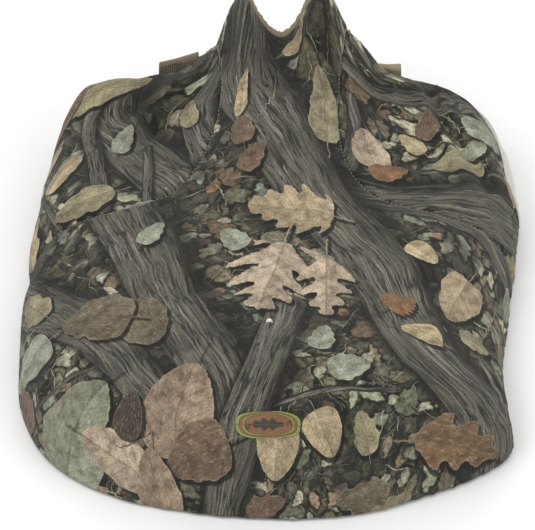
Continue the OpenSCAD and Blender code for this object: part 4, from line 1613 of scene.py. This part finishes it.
def badge_leaf():
    """An oak leaf between two small twigs, in slanted satin stitches."""
    pairs = []
    for t in (np.arange(110) + 0.5) / 110:
        a = LEAF_LENGTH * (t - 0.5)
        body = 0.0042 * 2.2 * math.sqrt(t * (1 - t))
        reach = body * (1 + 0.34 * math.sin(2 * math.pi * 3.4 * t - 0.6))
        if reach > 0.0005:
            pairs.append(((a, 0.0003), (a - 0.5 * reach, reach)))
            pairs.append(((a, -0.0003), (a - 0.5 * reach, -reach)))
    for q in range(16):
        a = -LEAF_LENGTH / 2 - 0.0065 + q * 0.0004
        pairs.append(((a, -0.0004), (a + 0.0003, 0.0005)))
    for side in (-1, 1):
        for t in np.linspace(0, 1, 26):
            a = side * (0.0205 + 0.0055 * t)
            b = side * 0.0042 * math.sin(math.pi * t)
            pairs.append(((a, b - 0.0010), (a + 0.0004, b + 0.0010)))
    satin("badge_oak_leaf", pairs, 0.0013, 0.00024, "badge_leaf_thread", "badge_leaf")


# ------------------------------------------------------------------ building it

cloth = make_cloth()
fabric_map = FabricMap(cloth)
make_face_panels()
make_backing()
make_foam_pad()
make_seams()
make_hem()
make_lip()
make_loop("left", 1.75, 0.009, 0.010, 0.32, LOOP_DARK)
make_loop("right", 1.0, 0.018, -0.003, -0.05, LOOP_CLOTH)
make_webs()
make_buckles()
badge_goal = (Vector(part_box("badge_base")[0]) + Vector(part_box("badge_base")[1])) / 2
badge_middle = fabric_map.flat[search_tree(fabric_map.place).find(badge_goal)[1]]
badge_plate()
badge_border()
badge_leaf()
bpy.data.objects.remove(cloth)


# ------------------------------------------------------------------ camera, light and floor


def aim(obj, target):
    obj.rotation_euler = (target - obj.location).to_track_quat("-Z", "Y").to_euler()


def setup_camera():
    camera = add_object("camera", bpy.data.cameras.new("camera"))
    target = Vector((-0.0015, 0.0047, 0.082))
    distance, elevation = 10.0, math.radians(41.8)
    camera.location = target + Vector((0, -math.cos(elevation), math.sin(elevation))) * distance
    aim(camera, target)
    camera.data.sensor_width = 36
    camera.data.lens = 36 * distance / 0.545
    camera.data.clip_end = 50
    bpy.context.scene.camera = camera


def setup_light():
    world = bpy.data.worlds.new("studio")
    world.use_nodes = True
    sky = world.node_tree.nodes["Background"].inputs
    sky[0].default_value = (1.0, 1.0, 1.0, 1)
    sky[1].default_value = 0.75
    bpy.context.scene.world = world
    for name, place, size, power in (
            ("key", (-1.2, -1.0, 2.4), 1.6, 26), ("fill", (1.6, -1.2, 1.6), 1.8, 12),
            ("back", (0.0, 1.8, 1.8), 1.8, 10)):
        light = add_object(name, bpy.data.lights.new(name, "AREA"))
        light.data.size = size
        light.data.energy = power
        light.location = place
        aim(light, Vector((0, 0, 0.05)))
    bpy.context.scene.view_settings.view_transform = "Standard"


def setup_floor():
    floor = new_mesh("floor", [(-8, -8, 0), (8, -8, 0), (8, 8, 0), (-8, 8, 0)], [(0, 1, 2, 3)])
    floor.data.materials.append(make_floor())


setup_camera()
setup_light()
setup_floor()
